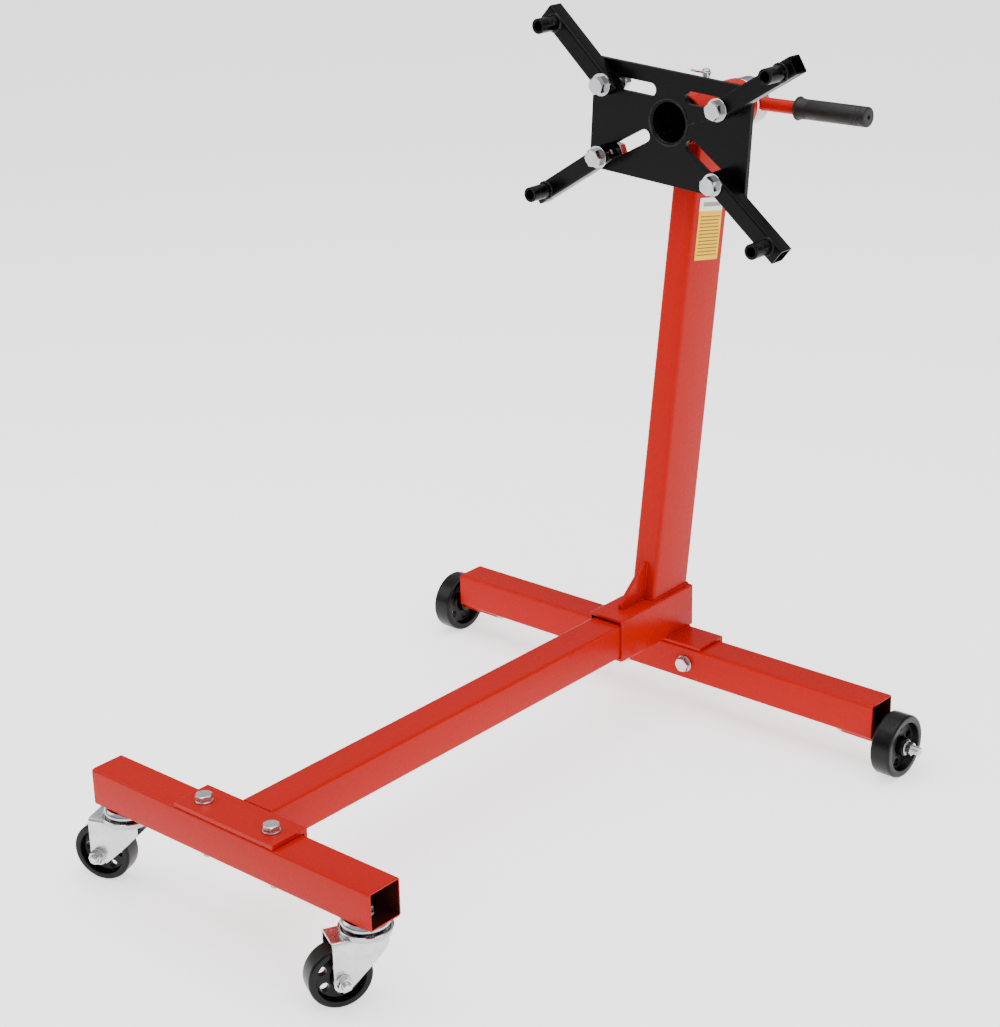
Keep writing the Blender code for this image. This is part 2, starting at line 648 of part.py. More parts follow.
for side, s in (("left", -1), ("right", 1)):
    a = math.radians(CASTER_ANGLES[side])
    u = Vector((math.cos(a), math.sin(a), 0))
    n = Vector((-math.sin(a), math.cos(a), 0))
    pivot = Vector((s * CASTER_X, FC_Y, 0))
    axle = pivot + u * TRAIL + Z * CW_R

    # fixed stem with its upper race
    stem = lathe(
        f"caster_stem_{side}",
        [
            (0, 81.5),
            (11.0, 81.5),
            (12.5, 83.0),
            (12.5, 85.2),
            (9.0, 85.2),
            (9.0, FC_Z0 - 11.0),
            (24.0, FC_Z0 - 11.0),
            (29.5, FC_Z0 - 7.0),
            (29.5, FC_Z0 - 3.0),
            (27.0, FC_Z0 - GAP),
            (6.0, FC_Z0 - GAP),
            (6.0, FC_Z0 + 22.0),
            (5.0, FC_Z0 + 23.0),
            (0, FC_Z0 + 23.0),
        ],
        along(Z, pivot),
        20,
    )
    keep(stem, ZINC)
    keep(hex_nut(f"caster_nut_{side}", 6.3, 19.0, 10.0, 12.0, 2.0, along(Z, pivot + Z * (FC_Z0 + WALL + GAP)), 20.0), ZINC)

    # fork: cup, crown plate and two cheeks
    frame = Matrix(((u.x, n.x, 0, pivot.x), (u.y, n.y, 0, pivot.y), (0, 0, 1, 0), (0, 0, 0, 1)))
    crown_top = 89.0
    hw = 20.5
    t = 3.0
    crown = prism(
        f"caster_fork_{side}",
        [(46.0, -hw + 0.5), (46.0, hw - 0.5), (-8.0, hw - 0.5), (-22.0, 19.0), (-29.0, 10.0), (-30.5, 0.0), (-29.0, -10.0), (-22.0, -19.0), (-8.0, -hw + 0.5)],
        frame @ Matrix.Translation((0, 0, crown_top - 3.2)),
        3.2,
    )
    cup = lathe("cup", [(31.5, crown_top - 2.4), (32.4, crown_top + 3.0), (31.0, crown_top + 5.0), (26.5, crown_top + 3.2), (22.0, crown_top - 0.8), (8.0, crown_top - 0.8), (8.0, crown_top - 2.4)], along(Z, pivot), 24)
    cheeks = []
    for side_n in (-1, 1):
        outline = [(-26.0, 87.0), (-23.0, 78.0), (-1.0, 52.0), (12.0, 39.0), (24.0, 30.0), (29.0, 26.0), (36.0, 24.5), (43.0, 27.5), (46.5, 34.0), (46.5, 87.0)]
        v0 = hw - t if side_n > 0 else -hw
        local = Matrix(((1, 0, 0, 0), (0, 0, 1, v0), (0, 1, 0, 0), (0, 0, 0, 1)))
        cheeks.append(prism(f"cheek{side_n}", outline, frame @ local, t))
    join(crown, cup, *cheeks)
    bores = [rod("pb", 9.6, crown_top - 12, crown_top + 12, along(Z, pivot), 20), rod("ax", 5.3, -40, 40, along(n, axle), 12)]
    keep(cut(crown, *bores), ZINC)

    keep(wheel(f"caster_wheel_{side}", CW_R, CW_W, CW_W + 5.0, 5.6, 21.8, 4.9, 8.0, n, axle), WHEEL)
    face = n  # the nut's side
    bolt = hex_bolt(f"caster_axle_{side}", 5.0, 16.0, 6.4, 2 * hw + GAP + 15.0, 9.0, 0.9, along(-face, axle - face * (hw + GAP)), 0.0)
    keep(bolt, ZINC)
    keep(hex_nut(f"caster_axle_nut_{side}", 5.3, 16.0, 8.0, 9.5, 1.6, along(face, axle + face * (hw + GAP)), 12.0), ZINC)

    # rear wheel, its axle tube welded under the crossbeam, axle bolt and nut
    axis = X * s
    hub = Vector((s * (RW_IN + RW_W / 2), RC_Y, RW_R))
    keep(wheel(f"rear_wheel_{side}", RW_R, RW_W, RW_W + 3.0, 6.6, 24.5, 5.4, 20.0, axis, hub), WHEEL)
    tube_r = RC_Z0 - GAP - RW_R
    keep(pipe(f"axle_tube_{side}", tube_r, 6.2, AXLE_IN, RW_IN - 3.0, along(axis, (0, RC_Y, RW_R)), 16), RED)
    outer = RW_IN + RW_W + 1.5
    keep(hex_bolt(f"rear_axle_{side}", 5.9, 12.4, 7.0, outer - AXLE_IN + 22.0, 7.2, 0.9, along(-axis, Vector((s * (AXLE_IN - GAP), RC_Y, RW_R))), 0.0), ZINC)
    keep(hex_nut(f"rear_axle_nut_{side}", 6.2, 16.0, 8.0, 10.0, 1.6, along(axis, Vector((s * (outer + GAP), RC_Y, RW_R))), 10.0), ZINC)


# ---------------------------------------------------------------- joint axes
def empty(name, at):
    obj = bpy.data.objects.new(name, None)
    obj.location = Vector(at) * MM + Vector((X_SHIFT, Y_SHIFT, 0)) * MM
    obj.empty_display_size = 0.03
    bpy.context.scene.collection.objects.link(obj)
    return obj


def carry(parent, names):
    for name in names:
        obj = bpy.data.objects[name]
        obj.parent = parent
        obj.matrix_parent_inverse = Matrix.Translation(-parent.location)


head = empty("axis_head", (0, PLATE_Y, HEAD_Z))
carry(head, ["mounting_plate", "spindle", "spindle_collar", "handle_bar", "handle_grip"])
carry(empty("axis_lock", (0, LOCK_Y, PIN_TIP)), ["lock_pin", "lock_ring"])
for key in ARM_ANGLES:
    s = -1 if key[1] == "l" else 1
    bx, bz = BOLT_TOP if key[0] == "t" else BOLT_LOW
    at = plate_to_world(s * bx, ARM_Y0, bz)
    carry(empty(f"axis_arm_{key}", at), [f"arm_{key}", f"arm_bolt_{key}", f"arm_nut_{key}"])
for side, s in (("left", -1), ("right", 1)):
    a = math.radians(CASTER_ANGLES[side])
    u = Vector((math.cos(a), math.sin(a), 0))
    pivot = Vector((s * CASTER_X, FC_Y, 0))
    carry(empty(f"axis_caster_{side}", pivot + Z * 90), [f"caster_fork_{side}", f"caster_axle_{side}", f"caster_axle_nut_{side}"])
    carry(empty(f"axis_caster_wheel_{side}", pivot + u * TRAIL + Z * CW_R), [f"caster_wheel_{side}"])
    carry(empty(f"axis_rear_wheel_{side}", (s * (RW_IN + RW_W / 2), RC_Y, RW_R)), [f"rear_wheel_{side}"])
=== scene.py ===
import json
import math
import random

import bmesh
import bpy
from mathutils import Matrix, Vector


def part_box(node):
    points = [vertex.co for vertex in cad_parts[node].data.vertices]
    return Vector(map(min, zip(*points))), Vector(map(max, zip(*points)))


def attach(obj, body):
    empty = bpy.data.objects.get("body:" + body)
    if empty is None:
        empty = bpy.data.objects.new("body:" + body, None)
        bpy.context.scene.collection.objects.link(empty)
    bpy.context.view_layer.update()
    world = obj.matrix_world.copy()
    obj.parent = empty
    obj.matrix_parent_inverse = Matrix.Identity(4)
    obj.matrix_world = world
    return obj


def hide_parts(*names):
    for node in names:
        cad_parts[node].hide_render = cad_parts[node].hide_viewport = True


with open("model.json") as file:
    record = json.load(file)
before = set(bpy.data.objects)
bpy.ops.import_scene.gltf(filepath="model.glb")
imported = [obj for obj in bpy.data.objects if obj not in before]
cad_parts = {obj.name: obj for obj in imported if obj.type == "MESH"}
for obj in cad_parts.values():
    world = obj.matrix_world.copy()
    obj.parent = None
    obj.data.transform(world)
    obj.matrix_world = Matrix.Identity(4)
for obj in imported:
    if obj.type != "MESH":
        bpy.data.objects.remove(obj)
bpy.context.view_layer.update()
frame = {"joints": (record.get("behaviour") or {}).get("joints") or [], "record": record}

MM = 0.001
rng = random.Random(7)
record = frame["record"]
JOINTS = {j["name"]: j for j in frame["joints"]}
OPENINGS = {o["name"]: o["box_m"] for o in record["physics"]["openings"]}
BODY = {n: b for b, ns in record["behaviour"]["bodies"].items() for n in ns}


def bx(node):
    lo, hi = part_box(node)
    return lo / MM, hi / MM


def joint_at(name):
    return Vector(JOINTS[name]["pos_m"]) / MM


X, Y, Z = Vector((1, 0, 0)), Vector((0, 1, 0)), Vector((0, 0, 1))


# ------------------------------------------------------------------ materials
def nodes_of(name):
    mat = bpy.data.materials.new(name)
    mat.use_nodes = True
    tree = mat.node_tree
    shader = tree.nodes["Principled BSDF"]
    coords = tree.nodes.new("ShaderNodeTexCoord")
    return mat, tree, shader, coords


def noise(tree, coords, scale, detail=4.0, rough=0.5, distort=0.0):
    n = tree.nodes.new("ShaderNodeTexNoise")
    n.inputs["Scale"].default_value = scale
    n.inputs["Detail"].default_value = detail
    n.inputs["Roughness"].default_value = rough
    n.inputs["Distortion"].default_value = distort
    tree.links.new(coords.outputs["Object"], n.inputs["Vector"])
    return n.outputs["Fac"]


def ramp(tree, fac, stops):
    r = tree.nodes.new("ShaderNodeValToRGB")
    r.color_ramp.elements[0].position, r.color_ramp.elements[0].color = stops[0][0], (*stops[0][1], 1)
    r.color_ramp.elements[1].position, r.color_ramp.elements[1].color = stops[-1][0], (*stops[-1][1], 1)
    for p, c in stops[1:-1]:
        e = r.color_ramp.elements.new(p)
        e.color = (*c, 1)
    tree.links.new(fac, r.inputs["Fac"])
    return r.outputs["Color"]


def mix(tree, fac, a, b):
    m = tree.nodes.new("ShaderNodeMix")
    m.data_type = "RGBA"
    for value, i in ((fac, 0), (a, 6), (b, 7)):
        if isinstance(value, (int, float)):
            m.inputs[i].default_value = value
        elif isinstance(value, tuple):
            m.inputs[i].default_value = (*value, 1)
        else:
            tree.links.new(value, m.inputs[i])
    return m.outputs[2]


def scalar(tree, fac, low, high, start=0.3, end=0.7):
    m = tree.nodes.new("ShaderNodeMapRange")
    m.inputs["From Min"].default_value = start
    m.inputs["From Max"].default_value = end
    m.inputs["To Min"].default_value = low
    m.inputs["To Max"].default_value = high
    tree.links.new(fac, m.inputs["Value"])
    return m.outputs["Result"]


def bump(tree, height, shader, distance, strength=1.0, before=None):
    b = tree.nodes.new("ShaderNodeBump")
    b.inputs["Distance"].default_value = distance
    b.inputs["Strength"].default_value = strength
    tree.links.new(height, b.inputs["Height"])
    if before is not None:
        tree.links.new(before, b.inputs["Normal"])
    tree.links.new(b.outputs["Normal"], shader.inputs["Normal"])
    return b.outputs["Normal"]


def paint(name, colour, deep, rough, coat, peel=0.00012, worn=(0.5, 0.5, 0.5), wear=0.0, dust=0.05, dust_colour=(0.55, 0.5, 0.46), spec=0.3, vary=(0.85, 1.25)):
    mat, tree, shader, coords = nodes_of(name)
    broad = noise(tree, coords, 4.0, 3.0)
    base = mix(tree, scalar(tree, broad, 0.0, 1.0, 0.35, 0.65), colour, deep)
    fine = noise(tree, coords, 55.0, 6.0, 0.62)
    base = mix(tree, scalar(tree, fine, 0.0, dust, 0.55, 0.75), base, dust_colour)
    if wear:
        geo = tree.nodes.new("ShaderNodeNewGeometry")
        edge = scalar(tree, geo.outputs["Pointiness"], 0.0, 1.0, 0.54, 0.62)
        spots = scalar(tree, noise(tree, coords, 160.0, 5.0, 0.7), 0.0, 1.0, 0.56, 0.62)
        m = tree.nodes.new("ShaderNodeMath")
        m.operation = "MULTIPLY"
        tree.links.new(edge, m.inputs[0])
        tree.links.new(spots, m.inputs[1])
        m2 = tree.nodes.new("ShaderNodeMath")
        m2.operation = "MULTIPLY"
        m2.inputs[1].default_value = wear
        tree.links.new(m.outputs[0], m2.inputs[0])
        base = mix(tree, m2.outputs[0], base, worn)
    tree.links.new(base, shader.inputs["Base Color"])
    tree.links.new(scalar(tree, fine, rough * vary[0], rough * vary[1]), shader.inputs["Roughness"])
    shader.inputs["Coat Weight"].default_value = coat
    shader.inputs["Coat Roughness"].default_value = 0.1
    shader.inputs["Specular IOR Level"].default_value = spec
    first = bump(tree, noise(tree, coords, 420.0, 2.0), shader, peel)
    bump(tree, noise(tree, coords, 38.0, 3.0), shader, peel * 2.2, 1.0, first)
    return mat


def metal(name, colour, tint, rough, scratch=0.000006):
    mat, tree, shader, coords = nodes_of(name)
    shader.inputs["Metallic"].default_value = 1.0
    broad = noise(tree, coords, 60.0, 4.0, 0.6, 0.4)
    base = mix(tree, scalar(tree, broad, 0.0, 1.0, 0.35, 0.7), colour, tint)
    tree.links.new(base, shader.inputs["Base Color"])
    fine = noise(tree, coords, 300.0, 5.0, 0.65)
    tree.links.new(scalar(tree, fine, rough * 0.8, rough * 1.4), shader.inputs["Roughness"])
    bump(tree, fine, shader, scratch)
    return mat


RED = paint("red_powder_coat", (0.40, 0.0030, 0.0006), (0.39, 0.0028, 0.0006), 0.27, 0.0, peel=0.000008, vary=(0.97, 1.04), wear=0.0, worn=(0.25, 0.04, 0.03), dust=0.0, dust_colour=(0.4, 0.03, 0.02), spec=0.1)
BLACK = paint("black_paint", (0.0016, 0.0014, 0.0013), (0.001, 0.0009, 0.0009), 0.26, 0.0, peel=0.00003, wear=0.3, worn=(0.1, 0.1, 0.11), dust=0.02, dust_colour=(0.015, 0.015, 0.015), spec=0.09)
WELD_BLACK = paint("black_weld", (0.0016, 0.0014, 0.0013), (0.003, 0.003, 0.003), 0.3, 0.0, peel=0.0002, spec=0.16)
WELD_RED = paint("red_weld", (0.37, 0.003, 0.0006), (0.33, 0.0025, 0.0006), 0.3, 0.0, peel=0.0003, spec=0.12)
# painted shade: a near-black red for the inner walls of red tubes, standing in for the shade inside them
PAINTED_SHADE_INSIDE = paint("tube_inside_painted_shade", (0.05, 0.004, 0.0025), (0.025, 0.003, 0.002), 0.6, 0.0, dust=0.1, dust_colour=(0.03, 0.015, 0.012), spec=0.1)
ZINC = metal("zinc_plate", (0.60, 0.60, 0.615), (0.46, 0.47, 0.49), 0.25)
BRIGHT = metal("bright_zinc", (0.46, 0.46, 0.475), (0.36, 0.37, 0.39), 0.17)
WHEEL = paint("black_wheel", (0.002, 0.002, 0.0021), (0.0013, 0.0013, 0.0014), 0.3, 0.0, peel=0.0002, dust=0.08, dust_colour=(0.03, 0.028, 0.026), spec=0.18)


def rubber():
    mat, tree, shader, coords = nodes_of("grip_rubber")
    fine = noise(tree, coords, 90.0, 5.0, 0.6)
    tree.links.new(mix(tree, scalar(tree, fine, 0.0, 1.0), (0.0035, 0.0033, 0.0034), (0.007, 0.0068, 0.0066)), shader.inputs["Base Color"])
    shader.inputs["Specular IOR Level"].default_value = 0.3
    tree.links.new(scalar(tree, fine, 0.42, 0.6), shader.inputs["Roughness"])
    bump(tree, noise(tree, coords, 900.0, 2.0), shader, 0.00012)
    return mat


RUBBER = rubber()


def label_material(centre, across, along_it, width, height):
    """White header over a yellow field with plain thin rules and no lettering, laid out along the label's own edges."""
    mat, tree, shader, coords = nodes_of("label_print")

    def distance(direction):
        d = tree.nodes.new("ShaderNodeVectorMath")
        d.operation = "DOT_PRODUCT"
        d.inputs[1].default_value = tuple(direction)
        tree.links.new(coords.outputs["Object"], d.inputs[0])
        m = tree.nodes.new("ShaderNodeMath")
        m.operation = "SUBTRACT"
        m.inputs[1].default_value = centre.dot(direction)
        tree.links.new(d.outputs["Value"], m.inputs[0])
        return m.outputs[0]

    def math_node(kind, a, b):
        m = tree.nodes.new("ShaderNodeMath")
        m.operation = kind
        for i, v in enumerate((a, b)):
            if isinstance(v, (int, float)):
                m.inputs[i].default_value = v
            else:
                tree.links.new(v, m.inputs[i])
        return m.outputs[0]

    def between(value, a, b):
        return math_node("MULTIPLY", math_node("GREATER_THAN", value, a), math_node("LESS_THAN", value, b))

    up_it, side = distance(along_it), distance(across)
    pitch = height * 0.056
    wrapped = math_node("MODULO", math_node("ADD", up_it, 1.0), pitch)
    line = math_node("LESS_THAN", wrapped, pitch * 0.36)
    ragged = math_node("LESS_THAN", side, math_node("MULTIPLY", math_node("SUBTRACT", noise(tree, coords, 75.0, 1.0), -0.35), width * 0.55))
    rows = math_node("MULTIPLY", math_node("MULTIPLY", line, ragged), between(side, -width * 0.42, width * 0.44))
    rows = math_node("MULTIPLY", rows, between(up_it, -height * 0.45, height * 0.24))
    yellow = mix(tree, scalar(tree, noise(tree, coords, 80.0), 0.0, 1.0), (0.9, 0.52, 0.006), (0.86, 0.47, 0.005))
    field = mix(tree, math_node("MULTIPLY", rows, 0.8), yellow, (0.05, 0.04, 0.02))
    header = mix(tree, scalar(tree, noise(tree, coords, 120.0), 0.0, 0.3), (0.86, 0.85, 0.82), (0.72, 0.7, 0.66))
    band = math_node("MULTIPLY", between(up_it, height * 0.36, height * 0.43), between(side, -width * 0.34, width * 0.38))
    header = mix(tree, math_node("MULTIPLY", band, 0.7), header, (0.06, 0.055, 0.05))
    base = mix(tree, math_node("GREATER_THAN", up_it, height * 0.29), field, header)
    tree.links.new(base, shader.inputs["Base Color"])
    shader.inputs["Roughness"].default_value = 0.35
    shader.inputs["Specular IOR Level"].default_value = 0.1
    bump(tree, noise(tree, coords, 200.0), shader, 0.00004)
    return mat


# ------------------------------------------------------------------ geometry in millimetres
def done(bm, name, mat, body, nodes=(), angle=32, bevel=0.0, segments=2, recalc=True):
    if recalc:
        bmesh.ops.recalc_face_normals(bm, faces=bm.faces)
    mesh = bpy.data.meshes.new(name)
    bm.to_mesh(mesh)
    bm.free()
    mesh.transform(Matrix.Scale(MM, 4))
    return dress(mesh, name, mat, body, nodes, angle, bevel, segments)


def dress(mesh, name, mat, body, nodes=(), angle=32, bevel=0.0, segments=2):
    obj = bpy.data.objects.new(name, mesh)
    bpy.context.scene.collection.objects.link(obj)
    for p in mesh.polygons:
        p.use_smooth = True
    mesh.set_sharp_from_angle(angle=math.radians(angle))
    mesh.materials.append(mat)
    # red tubes with inner walls get the near-black red second material there: painted shade for the inside of the tube
    if mat == RED and any(p.material_index == 1 for p in mesh.polygons):
        mesh.materials.append(PAINTED_SHADE_INSIDE)
    else:
        for p in mesh.polygons:
            p.material_index = 0
    if bevel:
        m = obj.modifiers.new("edges", "BEVEL")
        m.width = bevel * MM
        m.segments = segments
        m.limit_method = "ANGLE"
        m.angle_limit = math.radians(38)
        m.harden_normals = True
    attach(obj, body)
    if nodes:
        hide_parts(*nodes)
    return obj


def along(axis, origin):
    z = Vector(axis).normalized()
    up = Vector((0, 0, 1)) if abs(z.z) < 0.9 else Vector((0, 1, 0))
    x = up.cross(z).normalized()
    y = z.cross(x)
    o = Vector(origin)
    return Matrix(((x.x, y.x, z.x, o.x), (x.y, y.y, z.y, o.y), (x.z, y.z, z.z, o.z), (0, 0, 0, 1)))


def basis(x, y, z, o):
    return Matrix(((x.x, y.x, z.x, o.x), (x.y, y.y, z.y, o.y), (x.z, y.z, z.z, o.z), (0, 0, 0, 1)))


def rounded(w, h, r, n=6):
    points = []
    for cx, cy, start in ((w / 2 - r, h / 2 - r, 0), (-w / 2 + r, h / 2 - r, 90), (-w / 2 + r, -h / 2 + r, 180), (w / 2 - r, -h / 2 + r, 270)):
        for i in range(n + 1):
            a = math.radians(start + 90 * i / n)
            points.append((cx + r * math.cos(a), cy + r * math.sin(a)))
    return points


def skin(bm, rings, closed=True, caps=(False, False)):
    """Joins rings of vertices in order; every ring is a closed loop of the same length."""
    pairs = list(zip(rings, rings[1:]))
    if closed:
        pairs.append((rings[-1], rings[0]))
    for a, b in pairs:
        n = len(a)
        for k in range(n):
            j = (k + 1) % n
            bm.faces.new((a[k], a[j], b[j], b[k]))
    if caps[0]:
        bm.faces.new(rings[0][::-1])
    if caps[1]:
        bm.faces.new(rings[-1])


def add_tube(bm, w, h, wall, r, length, place, n=6, chamfer=0.7, offset=(0.0, 0.0), inner=None):
    ri = max(r - wall, 1.0)
    iw, ih = inner or (w - 2 * wall, h - 2 * wall)
    shapes = []
    c = chamfer
    for z, ow, oh, orr in ((0, w - 2 * c, h - 2 * c, r - c), (c, w, h, r), (length - c, w, h, r), (length, w - 2 * c, h - 2 * c, r - c)):
        shapes.append([(x, y, z) for x, y in rounded(ow, oh, orr, n)])
    for z in (length, 0):
        shapes.append([(x + offset[0], y + offset[1], z) for x, y in rounded(iw, ih, ri, n)])
    rings = [[bm.verts.new(place @ Vector(p)) for p in s] for s in shapes]
    first = len(bm.faces)
    skin(bm, rings)
    bm.faces.ensure_lookup_table()
    around = len(rings[0])
    # inner walls take material slot 1, which dress() fills with painted shade on red tubes
    for k in range(first + 4 * around, first + 5 * around):
        bm.faces[k].material_index = 1


def add_lathe(bm, profile, place, n=48, start=0.0):
    rings = []
    for r, z in profile:
        if r < 1e-6:
            rings.append([bm.verts.new(place @ Vector((0, 0, z)))])
        else:
            rings.append([bm.verts.new(place @ Vector((r * math.cos(start + 2 * math.pi * k / n), r * math.sin(start + 2 * math.pi * k / n), z))) for k in range(n)])
    solid = any(len(ring) == 1 for ring in rings)
    for a, b in list(zip(rings, rings[1:])) + ([] if solid else [(rings[-1], rings[0])]):
        for k in range(n):
            j = (k + 1) % n
            if len(a) == 1 and len(b) == 1:
                break
            if len(a) == 1:
                bm.faces.new((a[0], b[k], b[j]))
            elif len(b) == 1:
                bm.faces.new((a[k], b[0], a[j]))
            else:
                bm.faces.new((a[k], b[k], b[j], a[j]))


def arc(cx, cz, r, a0, a1, n=5):
    return [(cx + r * math.cos(math.radians(a0 + (a1 - a0) * i / n)), cz + r * math.sin(math.radians(a0 + (a1 - a0) * i / n))) for i in range(n + 1)]


def add_prism(bm, points, place, depth):
    a = [bm.verts.new(place @ Vector((x, y, 0.0))) for x, y in points]
    b = [bm.verts.new(place @ Vector((x, y, depth))) for x, y in points]
    bm.faces.new(a[::-1])
    bm.faces.new(b)
    for k in range(len(points)):
        j = (k + 1) % len(points)
        bm.faces.new((a[k], a[j], b[j], b[k]))


def temp(bm, name="temp"):
    """A plain object in millimetres for Booleans."""
    bmesh.ops.recalc_face_normals(bm, faces=bm.faces)
    mesh = bpy.data.meshes.new(name)
    bm.to_mesh(mesh)
    bm.free()
    obj = bpy.data.objects.new(name, mesh)
    bpy.context.scene.collection.objects.link(obj)
    return obj


def boolean(obj, steps):
    """Applies exact Booleans in turn and returns the mesh, in millimetres. The helpers are removed."""
    for operation, other in steps:
        m = obj.modifiers.new("b", "BOOLEAN")
        m.operation = operation
        m.solver = "EXACT"
        m.object = other
    bpy.context.view_layer.update()
    graph = bpy.context.evaluated_depsgraph_get()
    mesh = bpy.data.meshes.new_from_object(obj.evaluated_get(graph))
    for _, other in steps:
        bpy.data.objects.remove(other, do_unlink=True)
    bpy.data.objects.remove(obj, do_unlink=True)
    return mesh


def cylinder(r, z0, z1, place, n=32):
    bm = bmesh.new()
    add_lathe(bm, [(0, z0), (r, z0), (r, z1), (0, z1)], place, n)
    return temp(bm)


def from_mesh(mesh, name, mat, body, nodes=(), angle=32, bevel=0.0, segments=2):
    mesh.transform(Matrix.Scale(MM, 4))
    mesh.materials.clear()
    mesh.name = name
    return dress(mesh, name, mat, body, nodes, angle, bevel, segments)


def add_thread(bm, r, z0, z1, pitch, place, tip=True, n=28):
    """Ring thread from z0 (near the head) down to z1 < z0, with a chamfered tip."""
    profile = [(0.0, z0 + 0.5), (r, z0 + 0.5)]
    z = z0
    while z - pitch > z1 + 1.2:
        profile += [(r, z - pitch * 0.12), (r - pitch * 0.5, z - pitch * 0.5), (r, z - pitch * 0.88)]
        z -= pitch
    profile += [(r, z1 + 1.2), (r - 1.2, z1), (0.0, z1)]
    add_lathe(bm, profile, place, n)


def add_hex(bm, flats, z0, z1, place, hole=0.0, n=48, both=False):
    """Hexagon head or nut with the usual 30 degree chamfer."""
    def radius(k):
        phi = (360.0 * k / n) % 60.0 - 30.0
        return flats / 2 / math.cos(math.radians(phi))

    rt = flats * 0.475
    t = math.tan(math.radians(30))

    def ring(kind):
        out = []
        for k in range(n):
            a = 2 * math.pi * k / n
            rr = radius(k)
            if kind == "low":
                p = (rr, z0)
            elif kind == "lowc":
                p = (rr, z0 + (rr - rt) * t)
            elif kind == "lowt":
                p = (rt, z0)
            elif kind == "high":
                p = (rr, z1 - (rr - rt) * t)
            else:
                p = (rt, z1)
            out.append(bm.verts.new(place @ Vector((p[0] * math.cos(a), p[0] * math.sin(a), p[1]))))
        return out

    rings = [ring("lowt"), ring("lowc")] if both else [ring("low")]
    rings += [ring("high"), ring("top")]
    if hole:
        def circle(r, z):
            return [bm.verts.new(place @ Vector((r * math.cos(2 * math.pi * k / n), r * math.sin(2 * math.pi * k / n), z))) for k in range(n)]

        rings += [circle(hole + 0.9, z1), circle(hole, z1 - 0.9), circle(hole, z0)]
        skin(bm, rings)
    else:
        skin(bm, rings, closed=False, caps=(True, True))


def add_washer(bm, r, hole, z0, z1, place, n=48):
    c = min(0.35, (z1 - z0) / 3)
    add_lathe(bm, [(hole, z0), (r - c, z0), (r, z0 + c), (r, z1 - c), (r - c, z1), (hole, z1)], place, n)


def bolt(name, place, r, flats, head_h, washer_r, washer_t, length, pitch, turn, body, nodes, mat=None, stub=40.0):
    """Head above local Z = 0 on a washer, shank to -length, threaded near the tip. place is in millimetres."""
    bm = bmesh.new()
    p = place @ Matrix.Rotation(math.radians(turn), 4, "Z")
    if washer_t > 0.3:
        add_washer(bm, washer_r, r, 0.0, washer_t, p)
    add_hex(bm, flats, washer_t, washer_t + head_h, p)
    add_lathe(bm, [(0, 0.2), (r, 0.2), (r, -length + stub - 1), (0, -length + stub - 1)], p, 28)
    add_thread(bm, r, -length + stub, -length, pitch, p)
    return done(bm, name, mat or ZINC, body, nodes, 28)


def nut(name, place, hole, flats, height, washer_r, washer_t, turn, body, nodes, mat=None):
    bm = bmesh.new()
    p = place @ Matrix.Rotation(math.radians(turn), 4, "Z")
    if washer_t > 0.3:
        add_washer(bm, washer_r, hole, 0.0, washer_t, p)
    add_hex(bm, flats, washer_t, washer_t + height, p, hole, both=False)
    return done(bm, name, mat or ZINC, body, nodes, 28)


def weld(name, points, r, body, mat, closed=False, pitch=3.4, flat=1.0):
    """A rippled bead along a line of points."""
    pts = [Vector(p) for p in points]
    if closed:
        pts.append(pts[0])
    lengths = [(b - a).length for a, b in zip(pts, pts[1:])]
    total = sum(lengths)
    count = max(6, int(total / 0.85))
    samples = []
    for i in range(count + (0 if closed else 1)):
        s = total * i / count
        k = 0
        while k < len(lengths) - 1 and s > lengths[k]:
            s -= lengths[k]
            k += 1
        samples.append((pts[k].lerp(pts[k + 1], s / lengths[k]), (pts[k + 1] - pts[k]).normalized(), total * i / count))
    bm = bmesh.new()
    rings = []
    phase = rng.random() * 6
    for i, (at, direction, s) in enumerate(samples):
        up = Vector((0.31, 0.17, 0.93)) if abs(direction.z) < 0.8 else Vector((0.9, 0.33, 0.2))
        a = direction.cross(up).normalized()
        b = direction.cross(a).normalized()
        rr = r * (0.86 + 0.16 * abs(math.sin(math.pi * s / pitch + phase)) + 0.08 * math.sin(s * 0.37 + phase) + 0.03 * (rng.random() - 0.5))
        if not closed and (i == 0 or i == len(samples) - 1):
            rr *= 0.35
        rings.append([bm.verts.new(at + (a * math.cos(2 * math.pi * k / 10) + b * math.sin(2 * math.pi * k / 10)) * rr) for k in range(10)])
    skin(bm, rings, closed=closed, caps=(not closed, not closed))
    return done(bm, name, mat, body, (), 60)


# ------------------------------------------------------------------ base frame
TUBE_R = 4.0
WALL = 2.5


def x_tube(node, mat=None):
    lo, hi = bx(node)
    bm = bmesh.new()
    add_tube(bm, hi.z - lo.z, hi.y - lo.y, WALL, TUBE_R, hi.x - lo.x, basis(Z, Y, X, Vector((lo.x, (lo.y + hi.y) / 2, (lo.z + hi.z) / 2))))
    return done(bm, node + "_tube", RED, "base", [node])


x_tube("front_crossbar")
x_tube("rear_crossbeam")
fc_lo, fc_hi = bx("front_crossbar")
rc_lo, rc_hi = bx("rear_crossbeam")
leg_lo, leg_hi = bx("main_leg")
so_lo, so_hi = bx("base_socket")
sa_lo, sa_hi = bx("saddle_angle")
br_lo, br_hi = bx("leg_front_bracket")

bm = bmesh.new()
add_tube(bm, leg_hi.x - leg_lo.x, leg_hi.z - leg_lo.z, WALL, TUBE_R, leg_hi.y - leg_lo.y, basis(X, Z, Y, Vector((0, leg_lo.y, (leg_lo.z + leg_hi.z) / 2))))
done(bm, "main_leg_tube", RED, "base", ["main_leg"])

